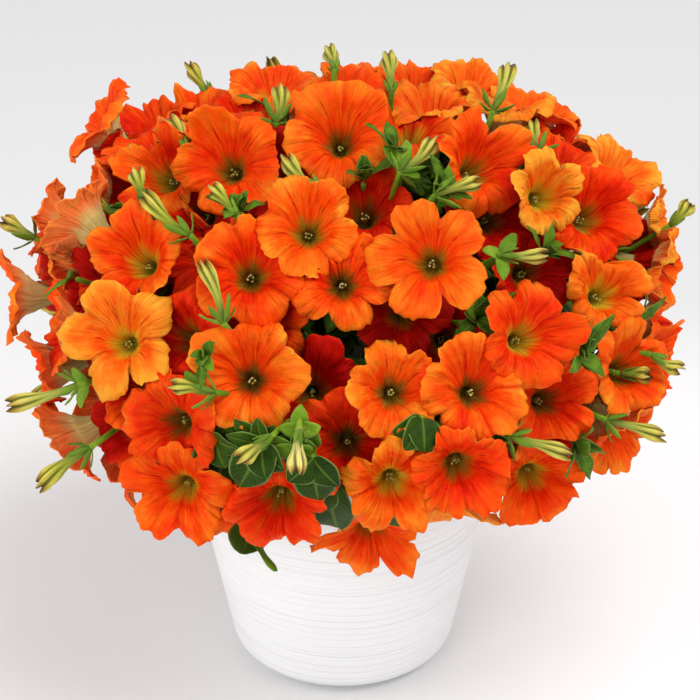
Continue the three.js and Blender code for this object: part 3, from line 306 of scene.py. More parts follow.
def settle(bloom):
    """Finds how far the solid of this bloom lies along its line of sight, and its node."""
    away = bloom_points[:, None, :] - corner_offsets(bloom)[None] - bloom["point"]
    along = away @ bloom["ray"]
    beside = np.linalg.norm(away - along[..., None] * bloom["ray"], axis=2)
    hits = beside < CLOSE
    pushes = along[hits]
    if not len(pushes):
        return False
    push = pushes[(np.abs(pushes[:, None] - pushes[None]) < CLOSE).sum(axis=1).argmax()]
    owners = bloom_owners[(hits & (np.abs(along - push) < CLOSE)).any(axis=1)]
    bloom["throat"] = bloom["point"] + bloom["ray"] * push
    bloom["node"] = BLOOM_NODES[np.bincount(owners).argmax()]
    return True


def all_blooms():
    seen = []
    for px, py, across, turn, tip, out, hue in SEEN_BLOOMS:
        point, ray = on_canopy(px, py, out)
        seen.append({"point": point, "ray": ray, "facing": facing_seen(turn, tip),
                     "across": across, "hue": hue, "seen": True})
    found = seen + far_blooms(seen)
    for index, bloom in enumerate(found):
        bloom["index"] = index
        bloom["roll"], bloom["lobes"] = lobe_draws(index)
    return [bloom for bloom in found if settle(bloom)]


class Piece:
    """Points in millimetres, faces and marks of one piece, gathered before its mesh is made.

    place and look are the marks that the materials read: place is a direction round the form and how far
    along it a point is; look is a share across it, its side, its tone and its own seed, the tone carrying
    painted shade on the petals and on the broad leaves.
    """

    def __init__(self):
        self.points, self.faces, self.slots, self.places, self.looks = [], [], [], [], []
        self.count = 0

    def grid(self, rows, slot, places, looks, first, last, mirrored_from=math.inf):
        """Rings of points, one after another, each closed, with an end point at either end.

        From the row mirrored_from on, the squares are split along their other diagonal.
        """
        count, around = rows.shape[:2]
        ring = np.arange(around)
        beside = (ring + 1) % around
        faces = []
        for row in range(count - 1):
            low, high = row * around, (row + 1) * around
            corners = [low + ring, high + ring, high + beside, low + beside]
            if row >= mirrored_from:
                corners = corners[1:] + corners[:1]
            faces.extend(np.stack(corners, axis=1))
        points = [rows.reshape(-1, 3)]
        places = [np.broadcast_to(places, (count, around, 3)).reshape(-1, 3)]
        looks = [np.broadcast_to(looks, (count, around, 4)).reshape(-1, 4)]
        pole = np.full(around, count * around)
        for point, at in ((first, 0), (last, (count - 1) * around)):
            order = [pole, ring, beside] if at == 0 else [at + ring, pole, at + beside]
            faces.extend(np.stack(order, axis=1))
            points.append(point[None])
            places.append(places[0][at:at + around].mean(axis=0)[None])
            looks.append(looks[0][at:at + 1])
            pole = pole + 1
        self.faces.extend((face + self.count).tolist() for face in faces)
        self.slots.extend([slot] * len(faces))
        for kept, added in ((self.points, points), (self.places, places), (self.looks, looks)):
            kept.extend(added)
        self.count += pole[0]

    def tube(self, path, radii, sides, slot, tone, seed):
        """Round-ended tube along a path."""
        path = np.asarray(path, dtype=float)
        ahead = np.gradient(path, axis=0)
        ahead /= np.linalg.norm(ahead, axis=1)[:, None]
        across = axes_for(ahead[0])[0]
        angles = 2 * np.pi * np.arange(sides) / sides
        rows = []
        for point, along, radius in zip(path, ahead, radii):
            across = unit(across - (across @ along) * along)
            rows.append(point + radius * spoke((across, np.cross(along, across)), angles))
        share = np.linspace(0, 1, len(path))[:, None]
        self.grid(np.array(rows)[:, ::-1], slot, layered(np.cos(angles), np.sin(angles), share),
                  (0, 0, tone, seed), path[0] - ahead[0] * radii[0] * 0.4,
                  path[-1] + ahead[-1] * radii[-1] * 0.4)

    def made(self, name, nodes, materials, slot):
        mesh = bpy.data.meshes.new(name)
        mesh.from_pydata((np.concatenate(self.points) * MM).tolist(), [], self.faces)
        mesh.polygons.foreach_set("material_index", self.slots)
        mesh.polygons.foreach_set("use_smooth", [True] * len(self.faces))
        for mark, kind, field, values in (("place", "FLOAT_VECTOR", "vector", self.places),
                                          ("look", "FLOAT_COLOR", "color", self.looks)):
            values = np.concatenate(values).astype(np.float32).ravel()
            mesh.attributes.new(mark, kind, "POINT").data.foreach_set(field, values)
        for material in materials:
            mesh.materials.append(material)
        mesh.validate()
        mesh.update()
        thing = bpy.data.objects.new(name, mesh)
        bpy.context.scene.collection.objects.link(thing)
        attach(thing, "root")
        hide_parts(*nodes)


def waves(draw, angle, counts, falling):
    """A sum of waves of random phase and strength round a full turn."""
    total = np.zeros_like(angle)
    for step, count in enumerate(counts):
        strength = draw.uniform(0.4, 1.0) * falling ** step
        total += strength * np.sin(count * angle + draw.uniform(0, ANY_ANGLE))
    return total


def ridge(share, width, power=2.0):
    """1 where a share is 0, falling off over a width."""
    return np.exp(-(share / width) ** power)


# Throat and tube, as pairs of radius and height, from the inner end out and from the limb's back down
INNER_TUBE = [(2.0, -24.0), (2.5, -20.0), (3.2, -16.5), (4.1, -13.6), (5.2, -11.0), (6.4, -8.8),
              (7.6, -7.0)]
OUTER_TUBE = [(9.3, -6.9), (7.9, -8.8), (6.5, -11.2), (5.2, -14.2), (4.1, -18.0), (3.2, -22.5),
              (2.4, -28.4)]
LIMB_START = 8.8
LIMB_START_HEIGHT = -5.6
TUBE_BOW = 2.6
INNER_SHARE = 0.22
PETAL, ANTHER = 0, 1
# Points round a limb, rows along it, and how many rows of the tube are passed over at a time
FINE, COARSE = (84, 10, 1), (52, 7, 2)
NICKS = (6, 9, 14, 21, 29, 38, 46)
NICK_DEPTH = 0.022
RUFFLES = (5, 8, 12, 17, 23, 31)
RUFFLE_HEIGHT = 1.65
WRINKLES = (15, 22, 31, 40)
WRINKLE_HEIGHT = 0.55
LARGEST_SADDLE = 7.0


def tube_bow(heights):
    return TUBE_BOW * np.sin(np.pi * np.clip(-np.asarray(heights) / TUBE_LENGTH, 0, 1))


def shape_bloom(bloom):
    """Rows of points of the limb, and of the tube's inside and outside."""
    draw = bloom["draw"] = np.random.default_rng(LIMB_SERIES + bloom["index"])
    bloom["seed"] = draw.random()
    around, steps, skipped = FINE if bloom["seen"] else COARSE
    turn = 360 * np.arange(around) / around
    lobe = np.floor(turn / LOBE_ANGLE + 0.5).astype(int)
    phi = (turn - LOBE_ANGLE * lobe) / (LOBE_ANGLE / 2)
    share = np.abs(phi)
    lobe %= LOBES
    beside = (lobe + np.where(phi < 0, -1, 1)) % LOBES
    join = np.where(phi < 0, beside, lobe)
    blend = smooth((share - 0.444) / 0.556)[:, None]
    own = bloom["lobes"][lobe]
    reach, lift = ((1 - blend) * own + blend * (own + bloom["lobes"][beside]) / 2).T
    degrees = 90 + bloom["roll"] + turn
    angle = np.radians(degrees)
    radius = bloom["across"] / 2
    pointed, notched, ruffled, bent = FORMS.get(bloom["index"], USUAL_FORM)

    # The rim: points and notches of the lobes, and small nicks
    point = (pointed + draw.uniform(-0.08, 0.08, LOBES)[lobe]) * ridge(share, 0.3, 1.6)
    notch = notched * draw.uniform(0.4, 1.6, LOBES)[join]
    notch = notch * ridge(1 - share, draw.uniform(0.12, 0.34, LOBES)[join], 1.2)
    outline = 1.02 - 0.06 * share ** 2 + point - notch
    nicks = waves(draw, angle, NICKS, 0.86)
    rim = radius * reach * outline * (1 + NICK_DEPTH * nicks) + draw.normal(0, 0.2, around)

    # The height: cup, dome, creases, ruffles, curled lobes and a saddle
    ruffle = waves(draw, angle, RUFFLES, 0.78)
    curl = draw.uniform(-4.6, 2.6, LOBES)
    curl = curl + np.where(draw.random(LOBES) < 0.15, draw.uniform(-8, 6, LOBES), 0)
    curl = curl[lobe] * (1 - blend[:, 0]) + draw.uniform(-1.4, 0.6) * blend[:, 0]
    lean = draw.uniform(-2.0, 2.0, LOBES)[lobe] * np.sin(np.pi * phi)
    crease, furrow = draw.uniform(0.6, 1.4), draw.uniform(2.0, 3.9)
    dome = draw.uniform(1.0, 3.4)
    saddle = min(draw.uniform(0.5, 3.5) * bent, LARGEST_SADDLE)
    saddle = saddle * np.cos(2 * (angle - draw.uniform(0, ANY_ANGLE)))
    wrinkle = waves(draw, angle, WRINKLES, 0.9)
    grown = np.linspace(0.0, 1.0, steps + 1)[:, None]
    out = LIMB_START + (rim - LIMB_START) * grown
    height = (LIMB_START_HEIGHT * (1 - grown) ** 2.1 + (radius * LIMB_CUP + lift) * grown ** 1.2
              + dome * np.sin(np.pi * grown) * (1 - share ** 3)
              - crease * ridge(share, 0.08) * grown ** 0.6 * (1.2 - 0.8 * grown)
              - furrow * ridge(1 - share, 0.11) * grown ** 0.6 * (1.25 - 0.7 * grown)
              + RUFFLE_HEIGHT * ruffled * ruffle * grown ** 2.0 + lean * grown ** 1.6
              + saddle * grown ** 2 + WRINKLE_HEIGHT * wrinkle * np.sin(np.pi * grown ** 0.8)
              + curl * np.maximum(grown - 0.5, 0) ** 1.5 * 2.8)

    def ring(radii, heights):
        bow = tube_bow(heights) * smooth((11.0 - radii) / 3.0)
        low = np.multiply.outer(bow, axes_for(bloom["facing"])[1])
        return bloom["throat"] + on_bloom(bloom, degrees, radii, heights) - low

    bloom["tubes"] = [(np.array([ring(*at) for at in half[::skipped]]), np.array(half)[::skipped, 1])
                      for half in (INNER_TUBE, OUTER_TUBE)]
    bloom["limb"] = np.array([ring(o, h) for o, h in zip(out, height)])
    bloom["root"] = bloom["limb"][0]
    bloom["heights"], bloom["rim"] = height, rim
    bloom["marks"] = (angle, share, grown[:, 0])
    middle = bloom["throat"] + bloom["facing"] * 3 - CANOPY_CENTRE
    bloom["level"] = np.linalg.norm(middle / (CANOPY_SIZES / CANOPY_RADIUS))


SHEET_GAP = 1.3
LARGEST_PUSH = 20.0
# Blooms at or under this value carry painted shade, and may be pushed further behind those in front
DEEP_SHADE_HUE = -0.7
DARK_PUSH = 1.7
# How far behind a limb, and how strongly, painted shade darkens the bloom it covers
PAINTED_SHADE_DEPTH = 40.0
PAINTED_SHADE_TONE = 1.0
MOST_ASIDE = 22.0
PETAL_THICKNESS = (0.75, 0.34)
ANTHERS = 5
ANTHER_TURN = 1.26
ANTHER_RADIUS, FILAMENT_RADIUS = 0.48, 0.2


def tuck_behind(rear, front):
    """Bends a limb behind the one in front of it and round its tube, and notes the painted shade it gets
    where the limb in front covers it.
    """
    right, up = axes_for(front["facing"])
    facing = front["facing"]
    apart = rear["limb"] - front["throat"]
    x, y, h = apart @ right, apart @ up, apart @ facing
    r = np.hypot(x, y)
    around = len(front["rim"])
    column = (np.degrees(np.arctan2(y, x)) - 90 - front["roll"]) % 360 / 360 * around
    column = np.floor(column).astype(int) % around
    rim = front["rim"][column]
    steps = len(front["heights"]) - 1
    row = np.clip((r - LIMB_START) / (rim - LIMB_START), 0, 1) * steps
    low = np.minimum(row.astype(int), steps - 1)
    part = row - low
    surface = (1 - part) * front["heights"][low, column] + part * front["heights"][low + 1, column]
    over = h - surface + SHEET_GAP
    most = LARGEST_PUSH * (DARK_PUSH if rear["hue"] <= DEEP_SHADE_HUE else 1.0)
    push = np.clip(over, 0, most) * smooth((rim + 4 - r) / 6.5) * smooth((most + 7 - over) / 6)
    behind = surface - h + push
    # Painted shade: darker where a limb in front covers this one, fading out the further behind it lies
    rear["covered"] += smooth((rim + 4 - r) / 9) * smooth((PAINTED_SHADE_DEPTH - behind) / 30) * (behind > 0)

    # Round the tube, on the side where the limb comes from
    h = h - push
    toward = (rear["throat"] - front["throat"]) - ((rear["throat"] - front["throat"]) @ facing) * facing
    toward = unit(toward + right * 1e-6)
    aside = np.cross(facing, toward)
    y = y + tube_bow(h)
    s = x * (right @ toward) + y * (up @ toward)
    t = x * (right @ aside) + y * (up @ aside)
    radii, heights = np.array(OUTER_TUBE).T
    clear = np.where((h < -1.5) & (h > -28), np.interp(-h, -heights, radii + 0.7), 0)
    edge = np.sqrt(np.maximum(clear ** 2 - t ** 2, 0))
    short = np.where((edge > 0) & (s < edge), edge - s, 0)
    rear["limb"] = rear["limb"] - push[..., None] * facing + np.minimum(short, MOST_ASIDE)[..., None] * toward


def arrange(blooms):
    """Tucks each bloom behind those near it that stand further out; a second round clears the first."""
    ordered = sorted(blooms, key=lambda bloom: -bloom["level"])
    for place, rear in enumerate(ordered):
        near = [front for front in ordered[:place] if np.linalg.norm(front["throat"] - rear["throat"])
                < (front["across"] + rear["across"]) * 0.56 + 6]
        for _ in range(2):
            rear["covered"] = np.zeros(rear["heights"].shape)
            for front in near:
                tuck_behind(rear, front)


def back_of(limb):
    """The limb's other side, a petal's thickness away."""
    normal = np.cross(np.gradient(limb, axis=0), np.roll(limb, -1, axis=1) - np.roll(limb, 1, axis=1))
    normal /= np.maximum(np.linalg.norm(normal, axis=2), 1e-6)[..., None]
    return limb - normal * np.linspace(*PETAL_THICKNESS, len(limb))[:, None, None]


def add_bloom(piece, bloom):
    draw, seed = bloom["draw"], bloom["seed"]
    angle, share, grown = bloom["marks"]
    # The tube's rings follow the limb's root where it was pushed
    moved = bloom["limb"][0] - bloom["root"]
    tube_in, tube_out = (rings + np.clip((heights + 24) / 18.4, 0, 1)[:, None, None] ** 1.5 * moved
                         for rings, heights in bloom["tubes"])
    rows = np.concatenate([tube_in, bloom["limb"], back_of(bloom["limb"])[::-1], tube_out])
    inner = np.linspace(0, INNER_SHARE, len(tube_in), endpoint=False)
    limb = INNER_SHARE + (1 - INNER_SHARE) * grown
    outer = np.linspace(INNER_SHARE, 0, len(tube_out))
    shares = np.concatenate([inner, limb, limb[::-1], outer])
    sides = np.concatenate([np.zeros(len(inner) + len(limb)), np.ones(len(limb) + len(outer))])
    covered = np.clip(bloom["covered"], 0, 1.3)
    covered = np.concatenate([covered[:1].repeat(len(inner), 0), covered, covered[::-1],
                              covered[:1].repeat(len(outer), 0)])
    # Tone: the bloom's colour with its painted shade, a little chance, less the painted shade where limbs in
    # front cover it
    tone = bloom["hue"] + draw.uniform(-0.12, 0.12) - PAINTED_SHADE_TONE * covered
    throat, facing = bloom["throat"], bloom["facing"]
    piece.grid(rows, PETAL, layered(np.cos(angle), np.sin(angle), shares[:, None]),
               layered(share, sides[:, None], tone, seed), throat - facing * 23,
               throat - facing * TUBE_LENGTH, len(tube_in) + len(limb))

    # The anthers on their filaments
    axes = axes_for(facing)
    is_open = bloom["index"] in OPEN_THROATS
    for number in range(ANTHERS):
        spot = ANTHER_TURN * number + draw.uniform(-0.4, 0.4)
        lean = draw.uniform(0.5, 1.8)
        deep = draw.uniform(8.5, 12.0) if is_open else draw.uniform(12.0, 15.5)
        head = throat + lean * spoke(axes, spot) - facing * deep - axes[1] * tube_bow(-deep)
        foot = throat - facing * 22 - axes[1] * TUBE_BOW * 0.7
        piece.tube([foot, (foot + head) / 2, head], [FILAMENT_RADIUS] * 3, 4, ANTHER, 0.2, seed)
        lay = -spoke(axes, spot + math.pi / 2)
        path = [head + lay * step + facing * 0.3 for step in (-0.6, -0.3, 0.3, 0.6)]
        radii = [0.2, ANTHER_RADIUS, ANTHER_RADIUS, 0.2]
        piece.tube(path, radii, 6, ANTHER, 1.0 if is_open and number % 2 else 0.6, seed)


def bezier(start, pull, push, end, steps):
    t = np.linspace(0, 1, steps)[:, None]
    return ((1 - t) ** 3 * start + 3 * (1 - t) ** 2 * t * pull
            + 3 * (1 - t) * t ** 2 * push + t ** 3 * end)


GREEN, BUD = 0, 1
# Points round a leaf's section: how far across, and which side
LEAF_SECTION = [(-1, 0.0), (-0.72, 1), (-0.36, 1), (0, 1), (0.36, 1), (0.72, 1), (1, 0.0),
                (0.72, -1), (0.36, -1), (0, -1), (-0.36, -1), (-0.72, -1)]
SMALL_SECTION = [(-1, 0.0), (-0.5, 1), (0, 1), (0.5, 1), (1, 0.0), (0.5, -1), (0, -1), (-0.5, -1)]
LEAF_HALF_THICKNESS = 0.3
SEPALS = 5


def add_leaf(piece, base, tip, face, wide, draw, tone=0.0, droop=0.08, fold=0.16, blunt=0.8, small=False):
    """Leaf from base to tip; face is the way that its upper side looks."""
    length = np.linalg.norm(tip - base)
    ahead = (tip - base) / length
    over = unit(np.cross(ahead, face))
    face = np.cross(over, ahead)
    seed = draw.random()
    x, side = np.array(SMALL_SECTION if small else LEAF_SECTION).T
    t = np.linspace(0.04, 0.975, 6 if small else 9)[::-1, None]
    wave = draw.uniform(0, ANY_ANGLE)
    half = wide / 2 * (0.16 * (1 - t) + np.sin(math.pi * t ** blunt) ** (0.85 if small else 0.62))
    rise = (np.abs(x) * half * fold + droop * length * 4 * t * (1 - t)
            + 0.035 * length * np.sin(9 * t + wave + 2 * np.sign(x)) * np.abs(x) ** 2)
    rows = (base + np.multiply.outer(length * t, ahead) + np.multiply.outer(x * half, over)
            + np.multiply.outer(rise + LEAF_HALF_THICKNESS * side, face))
    looks = layered(np.abs(x), 1 + (side < 0), tone + draw.uniform(-0.15, 0.15), seed)
    piece.grid(rows, GREEN, layered(x, 0.0, t), looks, tip, base)


def add_sepals(piece, base, facing, reach, opened, draw, wide=3.0):
    axes = axes_for(facing)
    start = draw.uniform(0, ANY_ANGLE)
    for step in range(SEPALS):
        aside = spoke(axes, start + 2 * math.pi * step / SEPALS + draw.uniform(-0.2, 0.2))
        open_by = opened * draw.uniform(0.8, 1.2)
        tip = base + reach * draw.uniform(0.85, 1.15) * spoke((facing, aside), open_by)
        face = facing * math.sin(open_by) - aside * math.cos(open_by)
        add_leaf(piece, base + aside * 0.9, tip, face, wide, draw, 0.3, -0.06, 0.12, 1.0, True)


# A bud's shares of its length with the radius at each
BUD_PROFILE = [(0.0, 1.2), (0.08, 1.5), (0.2, 1.65), (0.36, 1.8), (0.5, 2.15), (0.62, 2.65), (0.72, 3.15),
               (0.8, 3.45), (0.87, 3.4), (0.94, 2.9), (1.0, 2.2)]
BUD_SIDES = 30
BUD_PLEATS = 5


def add_bud(piece, base, facing, length, draw, pale):
    """Bud with five pleats that end in split points."""
    right, up = axes_for(facing)
    seed = draw.random()
    angles = 2 * np.pi * np.arange(BUD_SIDES) / BUD_SIDES
    start = draw.uniform(0, ANY_ANGLE)
    stout = draw.uniform(0.9, 1.12)
    bow = draw.uniform(-1, 1, 2) * 1.8
    uneven = waves(draw, angles, (1, 2, 3, 7), 0.8)
    t, radius = np.array(BUD_PROFILE[::-1]).T[..., None]
    pleat = np.cos(BUD_PLEATS * (angles + start + 0.9 * t))
    wide = radius * stout * (1 + (0.05 + 0.20 * smooth((t - 0.35) / 0.45)) * pleat)
    split = smooth((t - 0.72) / 0.28)
    bowed = np.sin(math.pi * t)
    rows = (base + np.multiply.outer(length * t + 1.3 * split * pleat + split * uneven, facing)
            + np.multiply.outer(bow[0] * bowed + wide * np.cos(angles), right)
            + np.multiply.outer(bow[1] * bowed + wide * np.sin(angles), up))
    looks = layered(0.5 + 0.5 * pleat, 0.0, pale, seed)
    piece.grid(rows, BUD, layered(np.cos(angles), np.sin(angles), t), looks,
               base + facing * length * 0.84, base - facing * 0.5)


def math_node(operation):
    return lambda one, *others: one.surface.put("Math", one, *others, operation=operation)


class Field:
    """A number or colour that varies over a surface; sums and products of fields are Math nodes."""
    __add__ = math_node("ADD")
    __sub__ = math_node("SUBTRACT")
    __mul__ = math_node("MULTIPLY")
    __abs__ = math_node("ABSOLUTE")
    larger = math_node("MAXIMUM")
    sine = math_node("SINE")
    floor = math_node("FLOOR")
    fraction = math_node("FRACT")

    def __init__(self, surface, socket):
        self.surface, self.socket = surface, socket

    def rise(self, low, high):
        """From 0 up to 1 between two values."""
        return self.surface.put("MapRange", self, low, high, 0.0, 1.0, interpolation_type="SMOOTHSTEP")

    def fall(self, low, high):
        return self.surface.put("Math", 1.0, self.rise(low, high), operation="SUBTRACT")

    def line(self, width):
        """1 on the thin lines where a noise crosses its middle value, falling to 0."""
        return abs(self - 0.5).fall(0.0, width)


class Surface:
    """A material in the making."""

    def __init__(self, name):
        self.material = bpy.data.materials.new(name)
        self.material.use_nodes = True
        self.tree = self.material.node_tree

    def put(self, kind, *values, output=0, **settings):
        """A node's output; its inputs in order are each a number, a colour, a field or None."""
        node = self.tree.nodes.new("ShaderNode" + kind)
        for key, value in settings.items():
            setattr(node, key, value)
        for socket, value in zip(node.inputs, values):
            if isinstance(value, Field):
                self.tree.links.new(value.socket, socket)
            elif value is not None:
                socket.default_value = (*value, 1.0) if socket.type == "RGBA" else value
        return Field(self, node.outputs[output])

    def parts(self, vector):
        node = self.put("SeparateXYZ", vector).socket.node
        return [Field(self, socket) for socket in node.outputs]

    def marks(self):
        """The marks of the mesh: place; share across, side, tone and seed; and share along."""
        place = self.parts(self.put("Attribute", attribute_name="place", output="Vector"))
        look = self.put("Attribute", attribute_name="look", output="Vector")
        seed = Field(self, look.socket.node.outputs["Alpha"])
        self.place, self.seed = place, seed
        return (*self.parts(look), seed, place[2])

    def position(self):
        return self.put("NewGeometry", output="Position")

    def noise(self, where, scale, detail, roughness):
        return self.put("TexNoise", where, None, scale, detail, roughness)

    def ray_noise(self, around, along, detail=2.0, roughness=0.5):
        """Noise drawn out along the length of a form, from throat to rim or from root to tip."""
        x, y, z = self.place
        where = self.put("CombineXYZ", x * around + self.seed * 37.0, y * around, z * along)
        return self.noise(where, 1.0, detail, roughness)

    def mix(self, share, one, other, kind="MIX"):
        return self.put("Mix", share, *[None] * 5, one, other, output=2, data_type="RGBA",
                        blend_type=kind, clamp_factor=True)

    def ramp(self, share, stops):
        colour = self.put("ValToRGB", share)
        elements = colour.socket.node.color_ramp.elements
        while len(elements) < len(stops):
            elements.new(0.5)
        for element, (place, shade) in zip(elements, stops):
            element.position = place
            element.color = (*shade, 1.0)
        return colour

    def bump(self, height, strength, distance, under=None):
        raised = self.put("Bump", strength, distance)
        for name, field in (("Height", height), ("Normal", under)):
            if field is not None:
                self.tree.links.new(field.socket, raised.socket.node.inputs[name])
        return raised

    def finished(self, colour, normal=None, **settings):
        """The material with its colour, its bump and settings of its shader, with _ for a space."""
        inputs = self.tree.nodes["Principled BSDF"].inputs
        self.tree.links.new(colour.socket, inputs["Base Color"])
        if normal is not None:
            self.tree.links.new(normal.socket, inputs["Normal"])
        for name, value in settings.items():
            inputs[name.replace("_", " ")].default_value = value
        return self.material


# Petal colours from low to high; the deep reds at the low end are reached mostly through painted shade
PETAL_COLOURS = [(0.0, (0.36, 0.002, 0.0005)), (0.22, (0.60, 0.006, 0.0005)), (0.45, (0.88, 0.028, 0.001)),
                 (0.66, (0.98, 0.085, 0.002)), (0.84, (1.0, 0.185, 0.008)), (1.0, (1.0, 0.32, 0.022))]
DARK_THROAT = [(0.0, (0.50, 0.28, 0.03)), (0.09, (0.27, 0.12, 0.012)), (0.15, (0.40, 0.075, 0.004)),
               (0.22, (0.70, 0.060, 0.002))]
OLIVE_THROAT = [(0.0, (0.80, 0.65, 0.06)), (0.09, (0.78, 0.55, 0.03)), (0.15, (0.80, 0.40, 0.014)),
                (0.24, (0.97, 0.22, 0.006))]
ANTHER_COLOURS = [(0.1, (0.40, 0.36, 0.08)), (0.6, (0.34, 0.34, 0.06)), (0.9, (0.52, 0.46, 0.22))]
GREENS = [(0.0, (0.010, 0.026, 0.002)), (0.35, (0.030, 0.075, 0.003)), (0.62, (0.13, 0.25, 0.012)),
          (1.0, (0.40, 0.50, 0.05))]
BUD_COLOURS = [(0.0, (0.06, 0.13, 0.008)), (0.3, (0.19, 0.23, 0.012)), (0.62, (0.42, 0.41, 0.030)),
               (0.80, (0.55, 0.46, 0.05)), (0.90, (0.34, 0.20, 0.02)), (1.0, (0.06, 0.025, 0.005))]
PALE_BUD_COLOURS = [(0.0, (0.36, 0.38, 0.07)), (0.45, (0.72, 0.62, 0.20)), (0.82, (0.78, 0.62, 0.18)),
                    (0.92, (0.35, 0.18, 0.04)), (1.0, (0.04, 0.015, 0.006))]
SOIL_COLOURS = [(0.3, (0.012, 0.007, 0.004)), (0.55, (0.045, 0.026, 0.015)), (0.75, (0.11, 0.07, 0.04))]
# Tint of the veins, and of the painted shade in the petals' creases
VEIN_AND_SHADE_TINT = (0.60, 0.12, 0.4)
PETAL_BACK, BACK_VEIN = (0.86, 0.42, 0.12), (0.45, 0.13, 0.02)
TUBE_OLIVE, TUBE_CREAM = (0.40, 0.30, 0.06), (0.82, 0.66, 0.28)
RIB_GREEN, LEAF_EDGE, LEAF_UNDERSIDE = (0.20, 0.30, 0.03), (0.26, 0.36, 0.08), (0.12, 0.20, 0.03)
BUD_STRIPE, BUD_VALLEY, BUD_RIDGE = (0.07, 0.12, 0.01), (0.05, 0.065, 0.006), (0.72, 0.64, 0.16)
# Glaze whites, and the grey of the painted shade along its grooves
GLAZE_SHADES, GROOVE_SHADE_GREY = ((0.83, 0.83, 0.84), (0.87, 0.87, 0.875)), (0.55, 0.55, 0.56)
# The glaze's turned lines, painted shade of fine grooves: how many in a metre, how thick, and where each
# comes and goes
GROOVE_SHADE_LINES = ((230.0, 0.050, 0.40, 0.66), (410.0, 0.075, 0.46, 0.8))
# Floor whites, and the greyer painted shade of the floor beyond the turn
FLOOR_SHADES, FLOOR_BEYOND_SHADE = ((0.815, 0.815, 0.82), (0.83, 0.83, 0.83)), (0.69, 0.69, 0.695)
FLOOR_TURN = (0.19, 0.3718)


def petal_material():
    made = Surface("petal")
    across, side, tone, seed, along = made.marks()
    hue = tone * (1 / 3) + 2 / 3
    streaks = made.ray_noise(6.0, 0.8, 4.0, 0.6)
    patches = made.ray_noise(1.5, 2.4, 3.0)
    fine = made.ray_noise(19.0, 1.0)
    # Lighter towards the rim, partly the petal's own colour and partly a painted highlight where the edges
    # catch light; redder near the throat
    shade = hue + (patches - 0.5) * 0.75 + (streaks - 0.5) * 0.36 + (along - 0.68) * 0.28
    body = made.ramp(shade, PETAL_COLOURS)
    # Veins are redder, as the petal's own colour; the creases along the middle of the lobes are redder,
    # partly as midveins and partly as painted shade, and the furrows at the joins are redder as painted shade
    fading = along.fall(0.30, 0.95)
    bent = abs((made.ray_noise(1.0, 5.0) - 0.5) * 0.16 + across)
    crease = (bent.fall(0.0, 0.06) * fading * 1.25).larger(across.rise(0.86, 1.0) * 0.62)
    red = made.mix(1.0, body, VEIN_AND_SHADE_TINT, "MULTIPLY")
    body = made.mix(crease, body, red)
    body = made.mix(fine.line(0.045) * (fading * 0.42 + 0.10), body, red)
    # The throat: dark bottom, olive walls, dark rays out of it into the limb
    rays = made.ray_noise(9.0, 0.3, 3.0, 0.6)
    reach = along + (rays - 0.5) * 0.22 + (across - 0.5) * 0.06
    yellowing = seed * 0.9 + hue * 1.3 - 1.0
    throat = made.mix(yellowing.rise(0.0, 0.9), made.ramp(reach, DARK_THROAT), made.ramp(reach, OLIVE_THROAT))
    front = made.mix(reach.fall(0.10, 0.25), body, throat)
    # The back of the limb is paler, and the tube is cream to olive
    back = made.mix(fine.line(0.09) * 0.5, made.mix(0.36, body, PETAL_BACK), BACK_VEIN)
    back = made.mix(along.fall(0.16, 0.50), back, made.mix(streaks, TUBE_OLIVE, TUBE_CREAM))
    folds = made.bump(made.ray_noise(2.6, 1.3, 2.0, 0.4), 0.9, 0.007)
    return made.finished(made.mix(side, front, back), made.bump(fine * 0.8 + streaks, 0.75, 0.0018, folds),
                         Roughness=0.55, Specular_IOR_Level=0.06, Subsurface_Weight=0.45,
                         Subsurface_Radius=(1.0, 0.22, 0.06), Subsurface_Scale=0.004)


def anther_material():
    made = Surface("anther")
    tone = made.marks()[2]
    return made.finished(made.ramp(tone, ANTHER_COLOURS), Roughness=0.6)


def green_material():
    made = Surface("green")
    across, side, tone, seed, along = made.marks()
    mottle = made.noise(made.position(), 190.0, 4.0, 0.6)
    # Greens by tone, low on the broad leaves as painted shade, with mottle and a little chance
    body = made.ramp(tone * 0.42 + 0.45 + (mottle - 0.5) * 0.5 + (seed - 0.5) * 0.16, GREENS)
    is_leaf = side.rise(0.4, 0.6)
    # Midrib and slanted side veins, paler than the blade
    slant = along * 9.0 - across * 2.6
    ribs = abs((slant * math.pi).sine()).fall(0.0, 0.22)
    lines = across.fall(0.03, 0.12).larger(ribs * 0.45)
    marked = made.mix(lines * is_leaf * 0.55, body, made.mix(0.6, body, RIB_GREEN))
    marked = made.mix(across.rise(0.84, 0.99) * is_leaf * 0.75, marked, LEAF_EDGE)
    marked = made.mix(side.rise(1.4, 1.6) * 0.35, marked, LEAF_UNDERSIDE)
    return made.finished(marked, made.bump(mottle - lines * 0.6, 0.4, 0.0008), Roughness=0.5,
                         Specular_IOR_Level=0.08)


def bud_material():
    made = Surface("bud")
    pleat, _, tone, _, along = made.marks()
    streaks = made.ray_noise(7.0, 0.8, 3.0)
    flesh = made.mix(tone, made.ramp(along, BUD_COLOURS), made.ramp(along, PALE_BUD_COLOURS))
    flesh = made.mix(streaks.line(0.09) * along.fall(0.8, 1.0) * 0.6, flesh, BUD_STRIPE)
    flesh = made.mix(pleat.fall(0.08, 0.5) * along.rise(0.3, 0.7) * 0.8, flesh, BUD_VALLEY)
    flesh = made.mix(pleat.rise(0.75, 1.0) * along.rise(0.4, 0.8) * 0.4, flesh, BUD_RIDGE)
    return made.finished(flesh, made.bump(streaks, 0.4, 0.0008), Roughness=0.5, Specular_IOR_Level=0.1)


